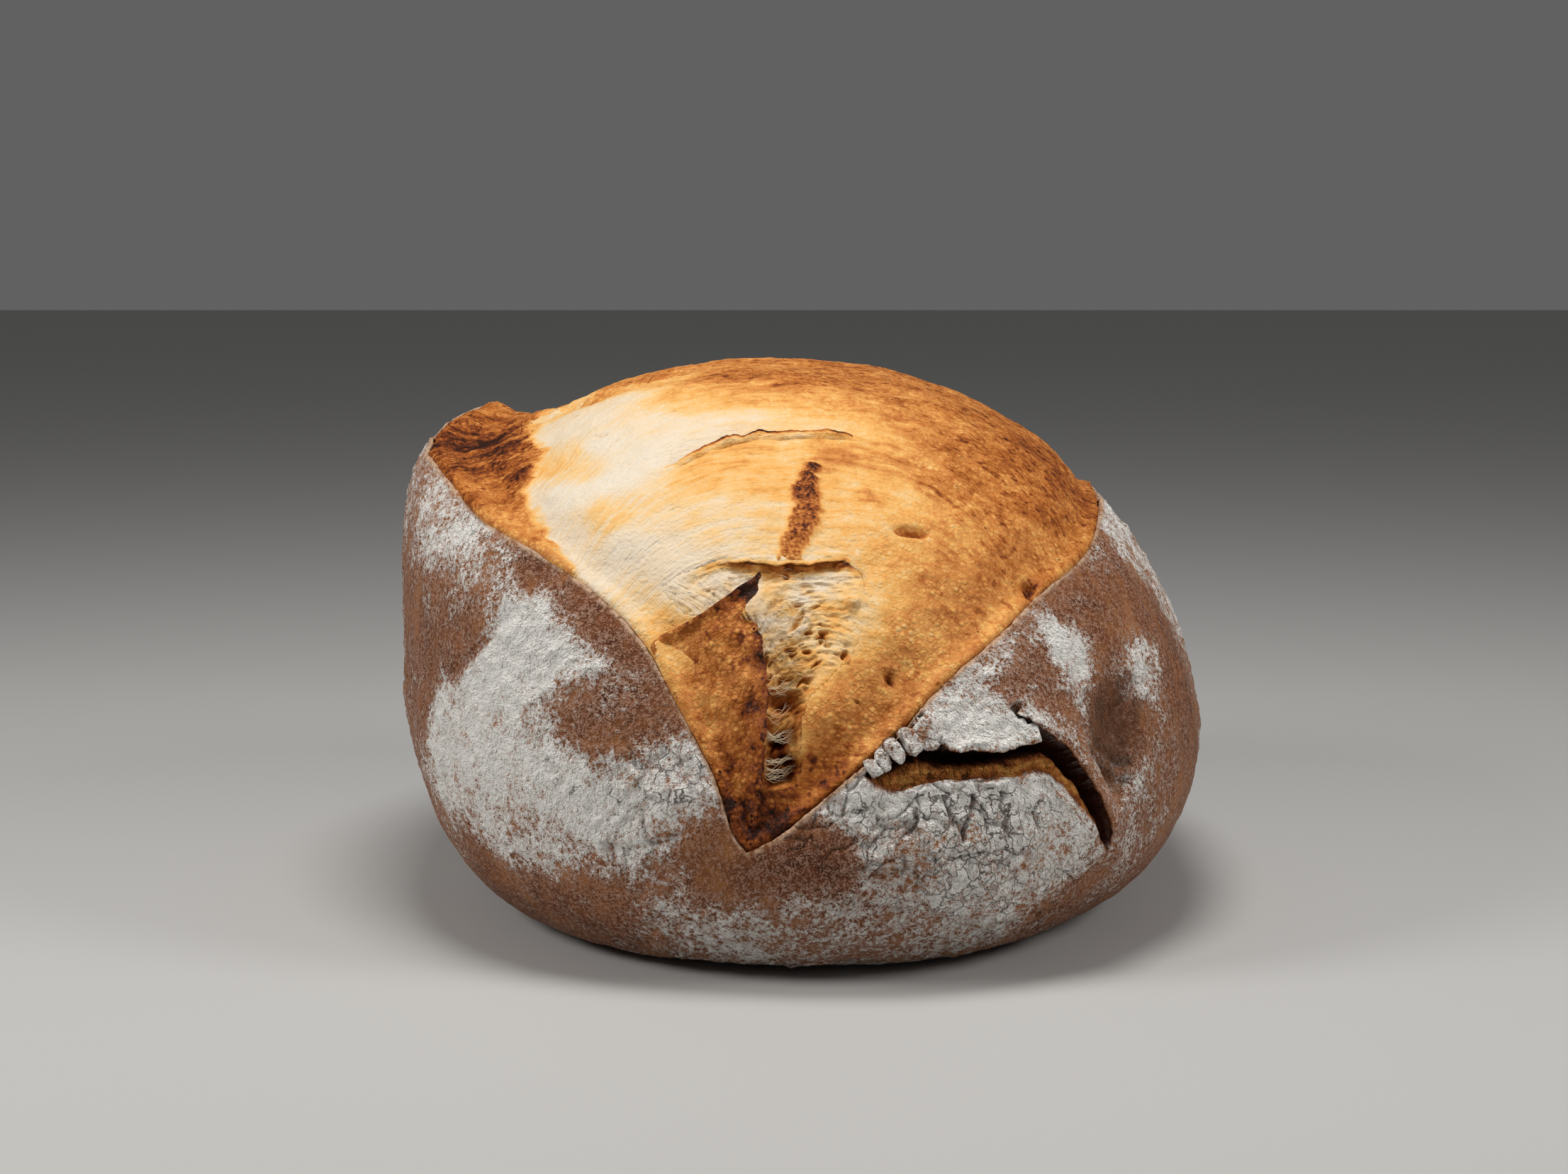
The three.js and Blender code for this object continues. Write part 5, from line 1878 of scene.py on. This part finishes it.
def crumb_finish():
    finish = Finish("crumb")
    blister, fresh = finish.mark("blister"), finish.mark("fresh")
    drawn_out = {0: finish.mark("ring"), 1: finish.mark("along") * STREAK_SHORTENING}
    on_strands = finish.node("ShaderNodeCombineXYZ", {}, drawn_out)
    streak = finish.grain(2.2, 4.0, on_strands)
    fine_streak = finish.grain(0.6, 2.0, on_strands, shift=11.0)
    blotch = finish.grain(9.0, 2.0)
    mottle = finish.grain(2.6, 3.0, shift=31.0)
    speck = finish.grain(0.7, 2.0, shift=57.0)
    bubble = finish.cells(BUBBLE_SIZE)
    seam = finish.cells(BUBBLE_SIZE, "DISTANCE_TO_EDGE")
    tiny_bubble = finish.cells(0.7, shift=13.0)
    popped = finish.cells(5.5, shift=7.0)
    present = finish.step(-0.35, 0.25, finish.grain(3.4, 2.0, shift=91.0))
    # painted highlights: blister tops, paler still on some of them, and tiny bubble tops
    top = finish.step(0.6, 0.1, bubble) * blister * present
    milky_highlight = finish.step(0.55, 0.95, finish.cell_number(BUBBLE_SIZE)) * top
    tiny_top = finish.step(0.5, 0.1, tiny_bubble) * blister
    crater = finish.step(0.075, 0.055, popped) * blister
    crater_ring = finish.step(0.14, 0.10, popped) * finish.step(0.05, 0.08, popped) * blister
    # this mark holds browning, and painted shade in places
    baked = finish.mark("browning")
    browned = baked + (0.34 * blotch + 0.50 * mottle + 0.20 * speck) * (0.04 + 0.9 * baked)
    browned = browned + (streak + fine_streak * 0.35) * (0.12 + 0.75 * baked) * (1 - blister)
    # lighter blister tops as painted highlights
    browned = browned + 0.05 * blister - 0.10 * top - 0.12 * milky_highlight - 0.07 * tiny_top
    # painted shade in the seams between blisters
    browned = browned + 0.07 * finish.step(0.1, 0.0, seam) * blister
    toasted = finish.step(0.42, 0.62, baked)
    fleck = finish.step(0.10, 0.30, finish.grain(2.0, 3.0, shift=67.0) + 0.5 * streak)
    browned = browned + 0.17 * fleck * toasted - 0.10 * fresh + (0.42 + 0.5 * speck) * finish.mark("scab")
    # painted shade in the hollows
    browned = browned + 0.24 * finish.mark("hollow") + 0.2 * crater - 0.12 * crater_ring
    skin = finish.ramp(browned, BROWNING_PATH)
    finish.plug(finish.shader.inputs["Base Color"], skin)
    finish.plug(finish.shader.inputs["Roughness"], 0.72 - 0.20 * blister)
    height = 0.22 * top + 0.10 * tiny_top + 0.26 * mottle + 0.08 * speck + 0.2 * crater_ring - 0.25 * crater
    pores = finish.grain(0.9, 3.0, shift=83.0)
    height = height + (0.24 * streak + 0.16 * fine_streak + 0.22 * pores) * (1 - blister)
    finish.bump(height)
    finish.shader.inputs["Specular IOR Level"].default_value = CRUMB_SHINE
    return finish.material


crumb_material = crumb_finish()
for piece in (crumb, fresh_crumb_piece, crumb_edges, flap):
    piece.data.materials.append(crumb_material)
print("crumb finish:", len(crumb_material.node_tree.nodes), "nodes")

# %% [markdown]
# ## Crust finish
#
# The crust is brown skin under flour. Thin flour only veils it, which turns brown to a dusty pink grey.
# Thick flour is nearly white and grainy, and its edge is ragged, so it is laid on with a threshold that
# grain of several sizes pushes about. The torn burst has no flour, and the lip has hardly any. Deep in
# the burst's gap and under its lips the torn dough gets painted shade. Cracks go over the flour as thin
# dark lines.

# %% Crust finish
SKIN_BROWN = [(0.15, (0.30, 0.118, 0.040)), (0.5, (0.155, 0.048, 0.017)), (0.85, (0.055, 0.016, 0.008))]
FLOUR_WHITE = (0.88, 0.855, 0.805, 1.0)
DUSTY_PINK = (0.37, 0.205, 0.135, 1.0)
TORN_BROWN = [
    (0.15, (0.62, 0.30, 0.075)), (0.38, (0.42, 0.145, 0.030)), (0.62, (0.20, 0.050, 0.012)),
    (0.85, (0.05, 0.012, 0.004)),
]
CRACK_BROWN = (0.06, 0.024, 0.012, 1.0)
LIP_TAN = (0.66, 0.45, 0.30, 1.0)
LEVEL_STRETCH = (0.3, 0.3, 1)
CRUST_PIECES = (crust, burst_lips, burst_chunks)


def crust_finish():
    finish = Finish("crust")
    flour, torn = finish.mark("flour"), finish.mark("torn")
    crack, edge = finish.mark("crack"), finish.mark("edge")
    drift = finish.grain(12.0, 3.0)
    clump = finish.grain(3.2, 4.0, shift=19.0)
    powder = finish.grain(0.9, 3.0, shift=43.0)
    dust = finish.grain(0.35, 2.0, shift=71.0)
    skin = finish.ramp(0.5 + 0.8 * drift + 0.7 * clump, SKIN_BROWN)
    lump = finish.step(0.75, 0.15, finish.cells(1.1, shift=29.0))
    laid = flour + 0.30 * drift + 0.45 * clump + 0.50 * powder + 0.45 * dust + 0.16 * (lump - 0.5)
    veil = finish.step(0.02, 0.62, laid + 0.8 * powder + 1.3 * dust) * (1 - 0.6 * edge)
    caked = finish.step(0.46, 0.86, laid) * (1 - 0.8 * edge)
    colour = finish.mix(veil * 0.85, skin, DUSTY_PINK)
    colour = finish.mix(caked, colour, FLOUR_WHITE)
    colour = finish.mix(edge * finish.step(-0.5, 0.2, clump + powder) * 0.75, colour, LIP_TAN)
    stretch = {0: finish.place_mm, 1: LEVEL_STRETCH}
    level = finish.node("ShaderNodeVectorMath", {"operation": "MULTIPLY"}, stretch)
    fibre = finish.grain(0.9, 3.0, level)
    # the deep mark darkens the torn dough as painted shade
    torn_skin = finish.ramp(0.30 + 0.7 * finish.mark("deep") + 0.4 * clump + 0.6 * fibre, TORN_BROWN)
    colour = finish.mix(torn, colour, torn_skin)
    crazed_here = drift + 0.9 * clump + 1.6 * finish.mark("crazed") - 0.25
    crazed = finish.step(0.065, 0.0, finish.seams(3.6, 5.0)) * finish.step(0.0, 0.4, crazed_here) * caked
    colour = finish.mix(crazed * 0.9, colour, CRACK_BROWN)
    colour = finish.mix(finish.step(0.2, 1.0, crack) * 0.7, colour, CRACK_BROWN)
    finish.plug(finish.shader.inputs["Base Color"], colour)
    finish.plug(finish.shader.inputs["Roughness"], 0.62 + 0.28 * caked)
    height = 0.20 * clump + (0.50 * powder + 0.50 * dust + 0.22 * lump) * (0.55 + 0.6 * caked) - 0.4 * crazed
    finish.bump(height)
    finish.shader.inputs["Specular IOR Level"].default_value = CRUST_SHINE
    return finish.material


crust_material = crust_finish()
for piece in CRUST_PIECES:
    piece.data.materials.append(crust_material)
print("crust finish:", len(crust_material.node_tree.nodes), "nodes")

# %% [markdown]
# ## Strand finish
#
# The threads are nearly raw dough that dried in the heat: cream, with gold where one catches it.

# %% Strand finish
STRAND_CREAM, STRAND_GOLD = (0.78, 0.64, 0.44, 1.0), (0.72, 0.44, 0.16, 1.0)


def strand_finish():
    finish = Finish("strand")
    toasted = finish.step(-0.15, 0.35, finish.grain(7.0, 2.0, shift=23.0) + 0.5 * finish.grain(1.4, 2.0))
    finish.plug(finish.shader.inputs["Base Color"], finish.mix(toasted, STRAND_CREAM, STRAND_GOLD))
    finish.bump(0.05 * finish.grain(0.4, 2.0))
    finish.shader.inputs["Roughness"].default_value = 0.6
    return finish.material


strand_material = strand_finish()
strands.data.materials.append(strand_material)
print("strand finish:", len(strand_material.node_tree.nodes), "nodes")

# %% [markdown]
# ## Hand over
#
# Every piece rides on the loaf's one node and stands in for its packed solid, which is hidden.

# %% Hand over
CRUMB_PIECES = (crumb, fresh_crumb_piece, crumb_edges, flap, strands)
for piece in CRUST_PIECES + CRUMB_PIECES:
    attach(piece, "root")
    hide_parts("loaf")
